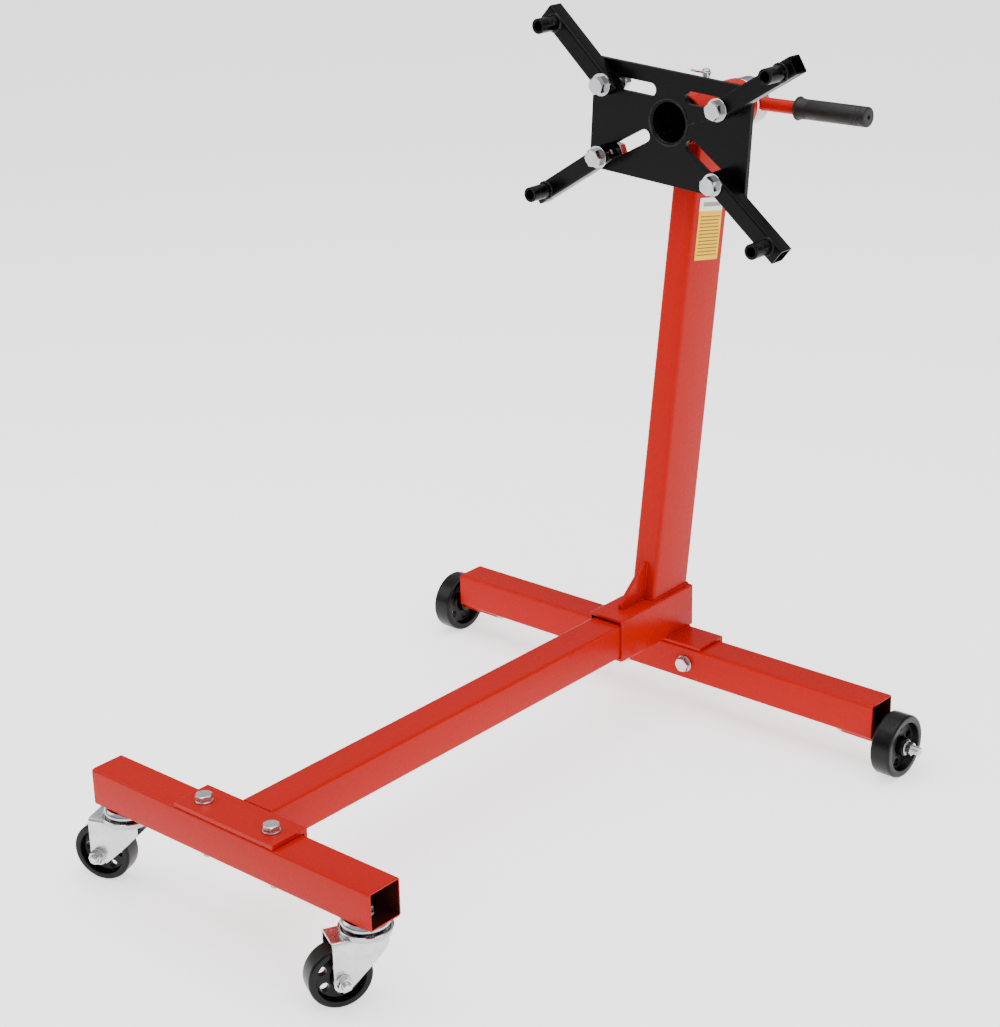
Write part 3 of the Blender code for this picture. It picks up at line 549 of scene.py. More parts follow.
# the socket's inside is open towards the leg
bm = bmesh.new()
sw, sh = so_hi.x - so_lo.x, so_hi.z - so_lo.z
roof = so_hi.z - (leg_hi.z + 3.8)
floor_t = (leg_lo.z - 0.4) - so_lo.z
add_tube(
    bm, sw, sh, 3.1, 2.6, so_hi.y - so_lo.y, basis(X, Z, Y, Vector((0, so_lo.y, (so_lo.z + so_hi.z) / 2))), 5, 0.6,
    (0.0, (floor_t - roof) / 2), (sw - 6.2, sh - floor_t - roof),
)
done(bm, "base_socket_box", RED, "base", ["base_socket"])


def angle_iron(name, node, lo, hi, thick_top, thick_back, drop):
    """L section: flat top from lo.y to hi.y, flange down the +Y side, rounded outside corner."""
    bm = bmesh.new()
    r = 2.2
    outline = [(lo.y, hi.z - thick_top), (hi.y - thick_back, hi.z - thick_top), (hi.y - thick_back, lo.z), (hi.y, lo.z), (hi.y, hi.z - r)]
    outline += [(hi.y - r + r * math.cos(math.radians(a)), hi.z - r + r * math.sin(math.radians(a))) for a in (30, 60, 90)]
    outline += [(lo.y, hi.z)]
    place = basis(Y, Z, X, Vector((lo.x, 0, 0)))
    add_prism(bm, outline, place, hi.x - lo.x)
    return done(bm, name, RED, "base", [node], 32, 0.7, 3)


angle_iron("leg_front_bracket_angle", "leg_front_bracket", br_lo, br_hi, br_hi.z - fc_hi.z - 0.3, br_hi.y - fc_hi.y - 0.3, br_hi.z - br_lo.z)
angle_iron("saddle_angle_iron", "saddle_angle", sa_lo, sa_hi, sa_hi.z - rc_hi.z - 0.3, sa_hi.y - rc_hi.y - 0.3, sa_hi.z - sa_lo.z)

# bolts of the base
for side in ("left", "right"):
    lo, hi = bx(f"front_bolt_{side}")
    c = (lo + hi) / 2
    bolt(f"front_bolt_{side}_m12", along(Z, (c.x, c.y, br_hi.z + 0.3)), 6.0, 19.0, 7.5, 11.0, 1.2, br_hi.z + 0.3 - lo.z, 1.75, 4 if side == "left" else 18, "base", [f"front_bolt_{side}"])
    lo, hi = bx(f"front_nut_{side}")
    nut(f"front_nut_{side}_m12", along(-Z, (c.x, c.y, hi.z)), 6.2, 19.0, 10.0, 11.5, 2.0, 24, "base", [f"front_nut_{side}"])
    lo, hi = bx(f"saddle_bolt_{side}")
    c = (lo + hi) / 2
    bolt(f"saddle_bolt_{side}_m12", along(-Y, (c.x, rc_lo.y - 0.3, c.z)), 6.0, 19.0, 7.5, 12.0, 2.0, hi.y - rc_lo.y + 0.3, 1.75, 8, "base", [f"saddle_bolt_{side}"])
    lo, hi = bx(f"saddle_nut_{side}")
    nut(f"saddle_nut_{side}_m12", along(Y, (c.x, lo.y, c.z)), 6.2, 19.0, 10.0, 12.0, 2.0, 15, "base", [f"saddle_nut_{side}"])
lo, hi = bx("leg_clamp_bolt")
cb = (lo + hi) / 2
nlo, nhi = bx("leg_clamp_nut")
bolt("leg_clamp_bolt_m10", along(-Z, (cb.x, cb.y, nlo.z - 0.3)), 5.0, 17.0, 6.5, 9.0, 0.9, hi.z - nlo.z + 0.3, 1.5, 10, "base", ["leg_clamp_bolt"], stub=12.0)
nut("leg_clamp_nut_m10", along(-Z, (cb.x, cb.y, nhi.z)), 5.2, 17.0, 9.8, 8.0, 0.2, 10, "base", ["leg_clamp_nut"], RED)

# ------------------------------------------------------------------ post, gusset, sleeve
LEAN = math.atan(0.164)
SLOPE = math.tan(LEAN)
HEAD = joint_at("head_rotation")
HZ = HEAD.z
po_lo, po_hi = bx("upright_post")
sl_lo, sl_hi = bx("head_sleeve")
pw = po_hi.x - po_lo.x
pd = 80.0
section = pd / math.cos(LEAN)
zc = Vector((0, math.sin(LEAN), math.cos(LEAN)))
yc = Vector((0, math.cos(LEAN), -math.sin(LEAN)))
mid = Vector((0, po_lo.y + section / 2, po_lo.z))
bm = bmesh.new()
add_tube(bm, pw, pd, 3.0, 4.5, 840.0, basis(X, yc, zc, mid - zc * 40.0), 6, 0.5)
post = temp(bm, "post")


def block(x0, x1, y0, y1, z0, z1):
    bm = bmesh.new()
    add_prism(bm, [(x0, y0), (x1, y0), (x1, y1), (x0, y1)], Matrix.Translation((0, 0, z0)), z1 - z0)
    return temp(bm, "block")


mesh = boolean(
    post,
    [
        ("DIFFERENCE", block(-70, 70, po_lo.y - 90, po_hi.y + 90, po_lo.z - 100, po_lo.z)),
        ("DIFFERENCE", block(-70, 70, po_lo.y - 90, po_hi.y + 160, HZ - 10.0, HZ + 300)),
        ("DIFFERENCE", cylinder(34.0, sl_lo.y - 100, sl_hi.y + 100, along(Y, (0, 0, HZ)), 64)),
    ],
)
from_mesh(mesh, "upright_post_tube", RED, "base", ["upright_post"])


def front_y(z):
    return po_lo.y + (z - po_lo.z) * SLOPE


gu_lo, gu_hi = bx("post_gusset")
bm = bmesh.new()
g1 = po_lo.y - 0.2
outline = [(gu_lo.y, gu_lo.z), (g1, gu_lo.z), (g1 + SLOPE * (gu_hi.z - gu_lo.z), gu_hi.z), (g1 + SLOPE * (gu_hi.z - gu_lo.z) - 5.0, gu_hi.z), (gu_lo.y, gu_lo.z + 7.0)]
add_prism(bm, outline, basis(Y, Z, X, Vector((gu_lo.x, 0, 0))), gu_hi.x - gu_lo.x)
done(bm, "post_gusset_plate", RED, "base", ["post_gusset"], 32, 0.6, 3)

lo = fc_lo
weld("weld_post_base", [(-pw / 2, po_lo.y, po_lo.z), (pw / 2, po_lo.y, po_lo.z), (pw / 2, po_lo.y + section, po_lo.z), (-pw / 2, po_lo.y + section, po_lo.z)], 2.6, "base", WELD_RED, True)
for s in (-1, 1):
    tag = "l" if s < 0 else "r"
    weld(f"weld_gusset_foot_{tag}", [(s * 3.2, gu_lo.y + 1, gu_lo.z), (s * 3.2, g1, gu_lo.z)], 1.9, "base", WELD_RED)
    weld(f"weld_gusset_post_{tag}", [(s * 3.2, g1, gu_lo.z + 1), (s * 3.2, g1 + SLOPE * 49, gu_lo.z + 50)], 1.9, "base", WELD_RED)
    weld(f"weld_socket_{tag}", [(s * (so_hi.x + 0.2), sa_lo.y + 2, sa_hi.z + 0.2), (s * (so_hi.x + 0.2), sa_hi.y - 2, sa_hi.z + 0.2)], 2.4, "base", WELD_RED)
    weld(f"weld_leg_{tag}", [(s * (leg_hi.x - 0.2), br_hi.y + 0.3, leg_hi.z - 3), (s * (leg_hi.x - 0.2), br_hi.y + 0.3, br_lo.z + 1)], 2.2, "base", WELD_RED)
    z = HZ - math.sqrt(35.2**2 - (pw / 2) ** 2)
    weld(f"weld_sleeve_{tag}", [(s * (pw / 2 + 0.2), front_y(z) + 1, z), (s * (pw / 2 + 0.2), front_y(z) + section - 1, z)], 2.4, "base", WELD_RED)
    for t, yy in (("f", rc_lo.y + 25 - 6.0), ("b", rc_lo.y + 25 + 6.0)):
        weld(f"weld_axle_{tag}{t}", [(s * 318, yy, rc_lo.z - 0.8), (s * 366, yy, rc_lo.z - 0.8)], 2.0, "base", WELD_RED)
for t, dy in (("f", 0.0), ("b", section)):
    pts = []
    for i in range(-8, 9):
        x = pw / 2 * i / 8
        z = HZ - math.sqrt(35.2**2 - x * x)
        pts.append((x, front_y(z) + dy, z))
    weld(f"weld_sleeve_{t}", pts, 2.3, "base", WELD_RED)

# sleeve with its boss
lock = bx("lock_pin")
lock_x, lock_y = 0.0, (lock[0].y + lock[1].y) / 2
r1, r0 = sl_hi.x, 31.0
bm = bmesh.new()
c = 1.0
add_lathe(bm, [(r0, sl_lo.y + c), (r0 + c, sl_lo.y), (r1 - c, sl_lo.y), (r1, sl_lo.y + c), (r1, sl_hi.y - c), (r1 - c, sl_hi.y), (r0 + c, sl_hi.y), (r0, sl_hi.y - c)], along(Y, (0, 0, HZ)), 96)
mesh = boolean(temp(bm), [("DIFFERENCE", cylinder(5.6, HZ + 5, HZ + 90, along(Z, (lock_x, lock_y, 0)), 32))])
from_mesh(mesh, "head_sleeve_tube", RED, "base", ["head_sleeve"])
bm = bmesh.new()
top = sl_hi.z
add_lathe(bm, [(5.6, HZ + 31.5), (11.0, HZ + 31.5), (11.0, top - 1.2), (9.8, top), (6.4, top), (5.6, top - 0.8)], along(Z, (lock_x, lock_y, 0)), 48)
done(bm, "lock_boss", RED, "base", ())
pts = []
for k in range(48):
    a = 2 * math.pi * k / 48
    x, y = 11.2 * math.cos(a), 11.2 * math.sin(a)
    pts.append((lock_x + x, lock_y + y, HZ + math.sqrt(35.0**2 - x * x) + 0.3))
weld("weld_lock_boss", pts, 1.8, "base", WELD_RED, True)

# label on the post's right face
la_lo, la_hi = bx("warning_label")
cl = (la_lo + la_hi) / 2
LABEL = label_material(cl * MM, yc, zc, 54.0 * MM, 86.0 * MM)
bm = bmesh.new()
lw = 54.0
lh = 86.0
add_prism(bm, rounded(lw, lh, 2.0, 4), basis(yc, zc, X, Vector((la_lo.x - 0.2, cl.y, cl.z))), 0.35)
done(bm, "warning_label_sheet", LABEL, "base", ["warning_label"], 32)

# ------------------------------------------------------------------ head
pl_lo, pl_hi = bx("mounting_plate")
axis_tl = Vector(JOINTS["arm_tl_slide"]["axis"])
ROT = math.atan2(-axis_tl.z, axis_tl.x)
CR, SR = math.cos(ROT), math.sin(ROT)


def on_plate(x, y, z):
    return Vector((x * CR + z * SR, y, HZ - x * SR + z * CR))


PX, PZ = Vector((CR, 0, -SR)), Vector((SR, 0, CR))
PLATE_W, PLATE_H, PLATE_DZ = 260.0, 154.0, -8.5
outline = rounded(PLATE_W, PLATE_H, 3.0, 5)
bm = bmesh.new()
centre = on_plate(0, pl_lo.y, PLATE_DZ)
add_prism(bm, outline, basis(PX, PZ, -Y, centre + Y * (pl_hi.y - pl_lo.y)), pl_hi.y - pl_lo.y)
steps = [("DIFFERENCE", cylinder(30.1, pl_lo.y - 10, pl_hi.y + 10, along(Y, (0, 0, HZ)), 96))]


def stadium(p, q, r, n=14):
    direction = math.atan2(q[1] - p[1], q[0] - p[0])
    out = []
    for ctr, start in ((q, direction - math.pi / 2), (p, direction + math.pi / 2)):
        for k in range(n + 1):
            a = start + math.pi * k / n
            out.append((ctr[0] + r * math.cos(a), ctr[1] + r * math.sin(a)))
    return out


SLOT_TOP = ((33.0, 38.6), (103.0, 38.6))
SLOT_LOW = ((39.0, -25.7), (103.6, -65.8))
for s in (-1, 1):
    for p, q in (SLOT_TOP, SLOT_LOW):
        cut = bmesh.new()
        add_prism(cut, stadium((s * p[0], p[1]), (s * q[0], q[1]), 9.0), basis(PX, PZ, -Y, Vector((0, pl_hi.y + 10, HZ))), 30.0)
        steps.append(("DIFFERENCE", temp(cut)))
mesh = boolean(temp(bm), steps)
from_mesh(mesh, "mounting_plate_steel", BLACK, "head", ["mounting_plate"], 32, 0.8, 3)

# spindle and its index holes
sp_lo, sp_hi = bx("spindle")
bm = bmesh.new()
R, B = 30.0, 27.0
add_lathe(bm, [(B, sp_lo.y + 0.8), (B + 0.8, sp_lo.y), (R, sp_lo.y), (R, sp_hi.y - 1.0), (R - 1.0, sp_hi.y), (B + 0.8, sp_hi.y), (B, sp_hi.y - 0.8)], along(Y, (0, 0, HZ)), 96)
hb_lo, hb_hi = bx("handle_bar")
hy, hz = (hb_lo.y + hb_hi.y) / 2, (hb_lo.z + hb_hi.z) / 2
steps = [("DIFFERENCE", cylinder(9.6, -60, 60, along(X, (0, hy, hz)), 40))]
for k in range(8):
    a = math.radians(90 + 45 * k)
    steps.append(("DIFFERENCE", cylinder(5.6, 20, 40, along(Vector((math.cos(a), 0, math.sin(a))), (0, lock_y, HZ)), 24)))
mesh = boolean(temp(bm), steps)
from_mesh(mesh, "spindle_tube", BLACK, "head", ["spindle"])

# weld runs that hold the spindle in the plate
ring_front = [(31.2 * math.cos(2 * math.pi * k / 60), pl_lo.y + 0.2, HZ + 31.2 * math.sin(2 * math.pi * k / 60)) for k in range(60)]
weld("weld_spindle_front", ring_front, 1.7, "head", WELD_BLACK, True, 6.5)
ring_back = [(31.6 * math.cos(2 * math.pi * k / 60), pl_hi.y, HZ + 31.6 * math.sin(2 * math.pi * k / 60)) for k in range(60)]
weld("weld_spindle_back", ring_back, 3.0, "head", WELD_BLACK, True, 4.0)

co_lo, co_hi = bx("spindle_collar")
cr = (co_hi.x - co_lo.x) / 2
bm = bmesh.new()
add_lathe(bm, [(30.2, co_lo.y), (cr - 1.5, co_lo.y), (cr, co_lo.y + 1.5), (cr, co_hi.y - 1.5), (cr - 1.5, co_hi.y), (30.2, co_hi.y)], along(Y, (0, 0, HZ)), 96)
mesh = boolean(temp(bm), [("DIFFERENCE", cylinder(9.7, -60, 60, along(X, (0, hy, hz)), 40))])
from_mesh(mesh, "spindle_collar_ring", BRIGHT, "head", ["spindle_collar"])

bm = bmesh.new()
hr = (hb_hi.z - hb_lo.z) / 2
add_lathe(bm, [(0, hb_lo.x), (hr - 1.2, hb_lo.x), (hr, hb_lo.x + 1.2), (hr, hb_hi.x - 1.2), (hr - 1.2, hb_hi.x), (0, hb_hi.x)], along(X, (0, hy, hz)), 48)
done(bm, "handle_bar_rod", RED, "head", ["handle_bar"])

gr_lo, gr_hi = bx("handle_grip")
g0, g1x = gr_lo.x, gr_hi.x
profile = [(hr + 0.1, g0), (15.2, g0)] + arc(15.0, g0 + 1.6, 1.6, -90, 90, 6)[1:] + [(15.0, g0 + 4.4), (14.6, g0 + 7.5), (13.9, g0 + 11.0)]
for x in (g0 + 14.0, g1x - 21.0, g1x - 15.0):
    profile += [(13.95, x), (13.95, x + 2.6), (13.6, x + 3.2), (13.6, x + 4.2), (13.95, x + 4.8)]
profile += [(13.9, g1x - 7.0), (13.9, g1x - 3.0)] + arc(11.6, g1x - 2.3, 2.3, 10, 90, 6) + [(3.4, g1x), (3.0, g1x - 0.6), (3.0, hb_hi.x + 1.0), (hr + 0.1, hb_hi.x + 1.0)]
bm = bmesh.new()
add_lathe(bm, profile, along(X, (0, hy, hz)), 64)
done(bm, "handle_grip_sleeve", RUBBER, "head", ["handle_grip"], 40)

# lock pin and its pull ring
lp_lo, lp_hi = lock
bm = bmesh.new()
rp = 5.0
neck = top + 8.6
add_lathe(bm, [(0, lp_lo.z), (rp - 1.4, lp_lo.z), (rp, lp_lo.z + 2.2), (rp, neck), (5.8, neck + 0.8), (5.8, lp_hi.z - 1.4), (4.4, lp_hi.z), (0, lp_hi.z)], along(Z, (lock_x, lock_y, 0)), 40)
mesh = boolean(temp(bm), [("DIFFERENCE", cylinder(3.1, -14, 14, along(X, (lock_x, lock_y, lp_hi.z - 5.0)), 24))])
from_mesh(mesh, "lock_pin_steel", BRIGHT, "lock", ["lock_pin"])
tilt = math.radians(14)
ring_n = Vector((0, math.sin(tilt), math.cos(tilt)))
ring_side = Vector((0, math.cos(tilt), -math.sin(tilt)))
ring_c = Vector((lock_x, lock_y, lp_hi.z - 5.0)) - ring_side * 13.0
bm = bmesh.new()
add_lathe(bm, [(13.0 + 1.6 * math.cos(2 * math.pi * k / 12), 1.6 * math.sin(2 * math.pi * k / 12)) for k in range(12)], along(ring_n, ring_c), 64)
done(bm, "lock_pull_ring", BRIGHT, "lock", ["lock_ring"], 60)

# ------------------------------------------------------------------ arms
ARM = 25.0
for key in ("tl", "tr", "bl", "br"):
    a_lo, a_hi = bx(f"arm_{key}")
    at = joint_at(f"arm_{key}_swivel")
    ob = OPENINGS[f"bushing_{key}"]
    tip = Vector(((ob[0][0] + ob[1][0]) / 2, 0, (ob[0][2] + ob[1][2]) / 2)) / MM
    y1 = a_hi.y
    y0 = y1 - ARM
    front = a_lo.y
    u = Vector((tip.x - at.x, 0, tip.z - at.z))
    long = u.length
    u.normalize()
    v = Vector((-u.z, 0, u.x))
    tail, end = 21.0, 21.0
    base = Vector((at.x, (y0 + y1) / 2, at.z)) - u * tail
    bm = bmesh.new()
    add_tube(bm, ARM, ARM, 2.5, 2.8, tail + long + end, basis(v, Y, u, base), 5, 0.4)
    m = 1 if key in ("tl", "br") else -1
    far = base - u * 40.0
    wedge = bmesh.new()
    add_prism(wedge, [(-20.0, 0.0), (20.0, 0.0), (20.0, 40.0 + 6.0 * (1 + m)), (-20.0, 40.0 + 6.0 * (1 - m))], basis(v, u, Y, Vector((far.x, y0 - 5, far.z))), ARM + 10)
    mesh = boolean(temp(bm), [("DIFFERENCE", temp(wedge)), ("DIFFERENCE", cylinder(8.4, y0 - 5, y1 + 5, along(Y, (at.x, 0, at.z)), 32)), ("DIFFERENCE", cylinder(6.6, y0 - 5, y0 + 5, along(Y, (tip.x, 0, tip.z)), 32))])
    from_mesh(mesh, f"arm_{key}_tube", BLACK, f"arm_{key}", [f"arm_{key}"], 32, 0.35, 2)
    bm = bmesh.new()
    ro, ri = 10.5, 6.75
    add_lathe(bm, [(ri, front + 0.8), (ri + 0.8, front), (ro - 0.8, front), (ro, front + 0.8), (ro, y0 + 0.4), (ri, y0 + 0.4)], along(Y, (tip.x, 0, tip.z)), 48)
    done(bm, f"arm_{key}_bushing", BLACK, f"arm_{key}", ())
    pts = [(tip.x + 11.2 * math.cos(2 * math.pi * k / 40), y0 - 0.3, tip.z + 11.2 * math.sin(2 * math.pi * k / 40)) for k in range(40)]
    keep = [p for p in pts if abs((Vector(p) - Vector((tip.x, y0 - 0.3, tip.z))).dot(v)) < 11.6]
    weld(f"weld_bushing_{key}", pts, 2.3, f"arm_{key}", WELD_BLACK, True, 5.0)
    lo, hi = bx(f"arm_bolt_{key}")
    bolt(f"arm_bolt_{key}_m16", along(-Y, (at.x, y0 - 0.3, at.z)), 8.0, 22.0, 11.5, 15.4, 3.2, hi.y - (y0 - 0.3), 2.0, {"tl": 14, "tr": 41, "bl": 2, "br": 33}[key], f"carriage_{key}", [f"arm_bolt_{key}"], BRIGHT, stub=34.0)
    lo, hi = bx(f"arm_nut_{key}")
    nut(f"arm_nut_{key}_m16", along(Y, (at.x, lo.y, at.z)), 8.2, 24.0, 13.0, 15.0, 2.6, 10, f"carriage_{key}", [f"arm_nut_{key}"], BRIGHT)


# ------------------------------------------------------------------ wheels
def wheel(name, node, body, r, w, hub_w, bore, ring, hole, turn, axis, centre):
    hw, hh = w / 2, hub_w / 2
    rin = r * 0.74
    half = [(bore, hh - 0.6), (bore + 0.6, hh), (bore + 4.6, hh)] + arc(bore + 4.6, hh - 1.0, 1.0, 90, 10, 4)[1:]
    half += [(bore + 6.4, 6.0)] + [(bore + 8.2, 4.6), (bore + 10.0, 4.0)]
    half += [(rin - 2.0, 4.0), (rin - 0.5, 4.6), (rin + 0.5, 6.5), (rin + 1.4, hw - 1.2)] + arc(rin + 2.6, hw - 1.1, 1.1, 170, 90, 4)
    half += arc(r - 3.4, hw - 3.4, 3.4, 90, 8, 8)
    half += [(r, hw - 5.0)]
    profile = half + [(a, -b) for a, b in reversed(half)]
    place = along(axis, centre)
    bm = bmesh.new()
    add_lathe(bm, profile, place, 96)
    steps = []
    for k in range(6):
        a = math.radians(turn + 60 * k)
        spot = place @ Vector((ring * math.cos(a), ring * math.sin(a), 0))
        steps.append(("DIFFERENCE", cylinder(hole, -9, 9, along(axis, spot), 28)))
    mesh = boolean(temp(bm), steps)
    return from_mesh(mesh, name, WHEEL, body, [node], 36)


for side in ("left", "right"):
    s = -1 if side == "left" else 1
    pivot = joint_at(f"caster_{side}_swivel")
    axle = joint_at(f"caster_{side}_wheel")
    n = Vector(JOINTS[f"caster_{side}_wheel"]["axis"])
    u = Vector((axle.x - pivot.x, axle.y - pivot.y, 0))
    trail = u.length
    u.normalize()
    ground = Vector((pivot.x, pivot.y, 0))
    body = f"caster_{side}"

    st_lo, st_hi = bx(f"caster_stem_{side}")
    z0 = fc_lo.z
    bm = bmesh.new()
    prof = [(0, st_lo.z), (10.0, st_lo.z), (12.3, st_lo.z + 1.2), (12.5, st_lo.z + 3.4), (9.0, st_lo.z + 3.7), (9.0, z0 - 11.0), (23.5, z0 - 11.0), (26.6, z0 - 10.2), (28.9, z0 - 8.2), (29.6, z0 - 6.0), (29.3, z0 - 4.0), (27.6, z0 - 1.6), (26.0, z0 - 0.3), (6.0, z0 - 0.3), (6.0, st_hi.z - 1.0), (5.0, st_hi.z), (0, st_hi.z)]
    add_lathe(bm, prof, along(Z, ground), 72)
    done(bm, f"caster_{side}_race", BRIGHT, "base", [f"caster_stem_{side}"])
    cn_lo, cn_hi = bx(f"caster_nut_{side}")
    nut(f"caster_{side}_stem_nut", along(Z, (pivot.x, pivot.y, cn_lo.z)), 6.2, 19.0, 10.0, 12.0, 2.0, 20, "base", [f"caster_nut_{side}"])

    # stamped fork: a bent channel trimmed to its side and top outlines
    f_lo, f_hi = bx(f"caster_fork_{side}")
    crown, hw, t = 89.0, 20.5, 3.0
    rb = 5.0
    outer = [(-hw, 20.0)] + [(-hw + rb - rb * math.cos(math.radians(a)), crown - rb + rb * math.sin(math.radians(a))) for a in range(0, 91, 15)]
    outer += [(hw - rb + rb * math.sin(math.radians(a)), crown - rb + rb * math.cos(math.radians(a))) for a in range(0, 91, 15)] + [(hw, 20.0)]
    q = rb - t
    inner = [(hw - t, 20.0)] + [(hw - t - q + q * math.cos(math.radians(a)), crown - t - q + q * math.sin(math.radians(a))) for a in range(0, 91, 30)]
    inner += [(-hw + t + q - q * math.sin(math.radians(a)), crown - t - q + q * math.cos(math.radians(a))) for a in range(0, 91, 30)] + [(-hw + t, 20.0)]
    bm = bmesh.new()
    add_prism(bm, outer + inner, basis(n, Z, u, ground - u * 40.0), 40.0 + 46.5)
    side_cut = bmesh.new()
    ctrl = [(-36.0, crown + 9.0), (-36.0, crown - 3.4), (-27.5, crown - 3.4), (-25.5, 83.5), (-22.0, 76.0), (-16.0, 68.5), (-8.0, 60.0), (2.0, 50.0), (11.0, 41.5), (19.0, 34.2), (25.5, 28.6)]
    ctrl += [(36.0 + 11.0 * math.cos(math.radians(a)), 36.4 + 11.6 * math.sin(math.radians(a))) for a in (-145, -125, -105, -90, -75, -60, -45, -30, -15)]
    ctrl += [(46.4, 40.0), (46.4, crown + 9.0)]
    add_prism(side_cut, ctrl, basis(u, Z, -n, ground + n * 45.0), 90.0)
    top_cut = bmesh.new()
    add_prism(top_cut, [(60.0, -hw - 3), (60.0, hw + 3), (-4.0, hw + 3)] + [(-4.0 + 27.0 * math.cos(math.radians(a)), 23.5 * math.sin(math.radians(a))) for a in range(90, 271, 10)] + [(-4.0, -hw - 3)], basis(u, n, Z, ground), 130.0)
    mesh = boolean(
        temp(bm),
        [
            ("INTERSECT", temp(side_cut)),
            ("INTERSECT", temp(top_cut)),
            ("DIFFERENCE", cylinder(9.4, crown - 12, crown + 12, along(Z, ground), 40)),
            ("DIFFERENCE", cylinder(5.3, -40, 40, along(n, axle), 24)),
        ],
    )
    from_mesh(mesh, f"caster_{side}_fork", ZINC, body, [f"caster_fork_{side}"], 32, 0.35, 2)
    bm = bmesh.new()
    prof = [(20.5, crown - 1.0), (23.0, crown + 0.2), (26.0, crown + 2.6), (29.0, crown + 4.6), (31.2, crown + 5.0), (32.4, crown + 4.2), (32.6, crown + 2.8), (31.9, crown + 0.2), (31.3, crown - 2.2), (29.0, crown - 2.6)]
    add_lathe(bm, prof, along(Z, ground), 72)
    done(bm, f"caster_{side}_cup", BRIGHT, body, (), 40)
    wheel(f"caster_{side}_tyre", f"caster_wheel_{side}", f"caster_wheel_{side}", 38.6, 27.5, 32.5, 5.6, 21.8, 5.8, 36.0 if side == "right" else -4.0, n, axle)
    ax_lo, ax_hi = bx(f"caster_axle_{side}")
    bolt(f"caster_{side}_axle_bolt", along(-n, axle - n * (hw + 0.3)), 5.0, 16.0, 6.4, 9.0, 0.9, 2 * hw + 15.3, 1.5, 0, body, [f"caster_axle_{side}"], stub=22.0)
    nut(f"caster_{side}_axle_nut", along(n, axle + n * (hw + 0.3)), 5.2, 16.0, 8.0, 9.5, 1.6, 12, body, [f"caster_axle_nut_{side}"])

    # rear wheels
    rw = joint_at(f"rear_{side}_wheel")
    axis = X * s
    wheel(f"rear_{side}_tyre", f"rear_wheel_{side}", f"rear_wheel_{side}", 43.8, 29.3, 32.3, 6.6, 24.5, 5.4, 20.0, axis, rw)
    at_lo, at_hi = bx(f"axle_tube_{side}")
    r_out = (at_hi.z - at_lo.z) / 2
    ends = sorted((abs(at_lo.x), abs(at_hi.x)))
    bm = bmesh.new()
    add_lathe(bm, [(6.2, ends[0]), (r_out - 0.6, ends[0]), (r_out, ends[0] + 0.6), (r_out, ends[1] - 0.6), (r_out - 0.6, ends[1]), (6.2, ends[1])], along(axis, (0, rw.y, rw.z)), 48)
    done(bm, f"axle_tube_{side}_pipe", RED, "base", [f"axle_tube_{side}"])
    rx_lo, rx_hi = bx(f"rear_axle_{side}")
    far_in, far_out = sorted((abs(rx_lo.x), abs(rx_hi.x)))
    seat = far_in + 0.9 + 7.0
    bolt(f"rear_{side}_axle_bolt", along(-axis, Vector((s * seat, rw.y, rw.z))), 5.9, 12.4, 7.0, 7.2, 0.9, far_out - seat, 1.75, 0, "base", [f"rear_axle_{side}"], stub=30.0)
    rn_lo, rn_hi = bx(f"rear_axle_nut_{side}")
    nut(f"rear_{side}_axle_nut", along(axis, Vector((s * min(abs(rn_lo.x), abs(rn_hi.x)), rw.y, rw.z))), 6.1, 16.0, 8.0, 10.0, 1.6, 10, "base", [f"rear_axle_nut_{side}"])

# ------------------------------------------------------------------ floor, light, camera
bm = bmesh.new()
add_prism(bm, [(-30000, -30000), (30000, -30000), (30000, 30000), (-30000, 30000)], Matrix.Translation((0, 0, -20.0)), 20.0)
bmesh.ops.recalc_face_normals(bm, faces=bm.faces)
mesh = bpy.data.meshes.new("floor")
bm.to_mesh(mesh)
bm.free()
mesh.transform(Matrix.Scale(MM, 4))
floor = bpy.data.objects.new("floor", mesh)
bpy.context.scene.collection.objects.link(floor)
mat, tree, shader, coords = nodes_of("studio_floor")
tree.links.new(mix(tree, noise(tree, coords, 1.2), (0.95, 0.95, 0.95), (0.94, 0.94, 0.942)), shader.inputs["Base Color"])
shader.inputs["Roughness"].default_value = 0.8
shader.inputs["Specular IOR Level"].default_value = 0.1
shader.inputs["Emission Color"].default_value = (1.0, 1.0, 1.0, 1.0)
shader.inputs["Emission Strength"].default_value = 1.3
floor.data.materials.append(mat)

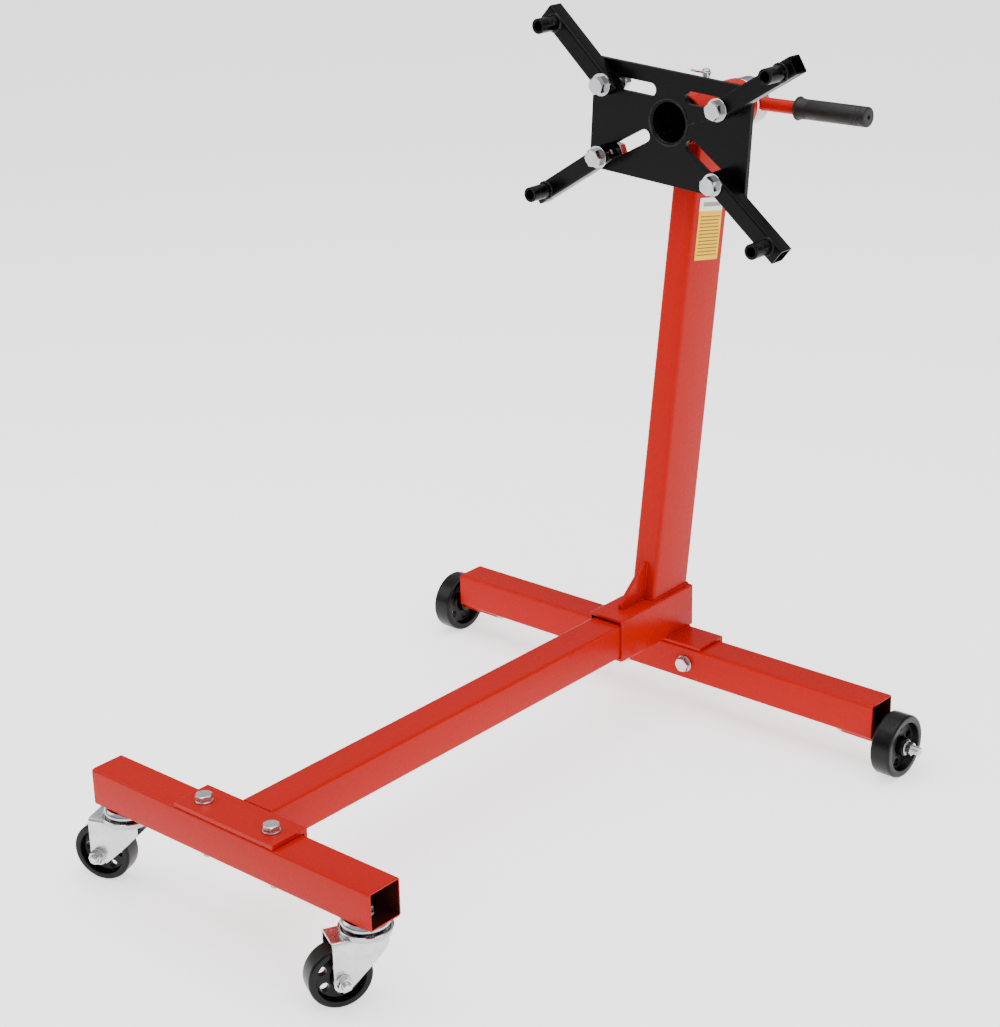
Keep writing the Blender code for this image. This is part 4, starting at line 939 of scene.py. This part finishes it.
world = bpy.data.worlds.new("studio")
bpy.context.scene.world = world
world.use_nodes = True
wt = world.node_tree
wc = wt.nodes.new("ShaderNodeTexCoord")
ws = wt.nodes.new("ShaderNodeSeparateXYZ")
wt.links.new(wc.outputs["Generated"], ws.inputs[0])
wm = wt.nodes.new("ShaderNodeMapRange")
wm.inputs["From Min"].default_value = -1.0
wm.inputs["From Max"].default_value = 1.0
wt.links.new(ws.outputs["Z"], wm.inputs["Value"])
sky = ramp(wt, wm.outputs["Result"], [(0.0, (0.8, 0.8, 0.8)), (0.5, (1.0, 1.0, 1.0)), (0.55, (0.98, 0.98, 0.98)), (0.585, (0.28, 0.28, 0.285)), (0.65, (0.32, 0.32, 0.32)), (0.74, (1.0, 1.0, 1.0)), (1.0, (1.0, 1.0, 1.0))])
wt.links.new(sky, wt.nodes["Background"].inputs["Color"])
wt.nodes["Background"].inputs["Strength"].default_value = 0.84


def area(name, at, target, size, power, colour=(1, 1, 1)):
    light = bpy.data.lights.new(name, "AREA")
    light.shape = "RECTANGLE"
    light.size, light.size_y = size
    light.energy = power
    light.color = colour
    obj = bpy.data.objects.new(name, light)
    obj.location = at
    obj.rotation_mode = "QUATERNION"
    obj.rotation_quaternion = (Vector(target) - Vector(at)).to_track_quat("-Z", "Y")
    bpy.context.scene.collection.objects.link(obj)
    return obj


area("softbox_top", (0.0, 0.0, 3.2), (0, 0, 0.3), (3.0, 3.0), 100)
area("softbox_left", (-2.6, -1.6, 1.9), (0, 0, 0.45), (1.6, 2.2), 32)
area("softbox_right", (3.6, -0.8, 1.5), (0, 0.1, 0.5), (3.0, 2.8), 50)

# camera solved for the photograph's viewpoint, in the row frame
AZ, EL, ROLL = math.radians(41.42), math.radians(20.90), math.radians(-1.50)
DIST, TX, TY = 2784.34, 16.579, -146.421
FOCAL, CX, CY, W, H = 2223.07, 493.818, 494.113, 1000.0, 1027.0
target = Vector((0.0, -250.0, 400.0)) + Vector((0.0, HEAD.y - 141.0, 185.8))
fwd = Vector((-math.sin(AZ) * math.cos(EL), math.cos(AZ) * math.cos(EL), -math.sin(EL)))
right = Vector((math.cos(AZ), math.sin(AZ), 0.0))
up = right.cross(fwd)
r = right * math.cos(ROLL) + up * math.sin(ROLL)
u = -right * math.sin(ROLL) + up * math.cos(ROLL)
eye = target - fwd * DIST + r * TX + u * TY
data = bpy.data.cameras.new("camera")
data.sensor_fit = "HORIZONTAL"
data.sensor_width = 36.0
data.lens = 36.0 * FOCAL / W
data.shift_x = (W / 2 - CX) / W
data.shift_y = (CY - H / 2) / W
data.dof.use_dof = False
data.clip_start, data.clip_end = 0.05, 60.0
camera = bpy.data.objects.new("camera", data)
camera.matrix_world = basis(r, u, -fwd, eye * MM)
bpy.context.scene.collection.objects.link(camera)
bpy.context.scene.camera = camera
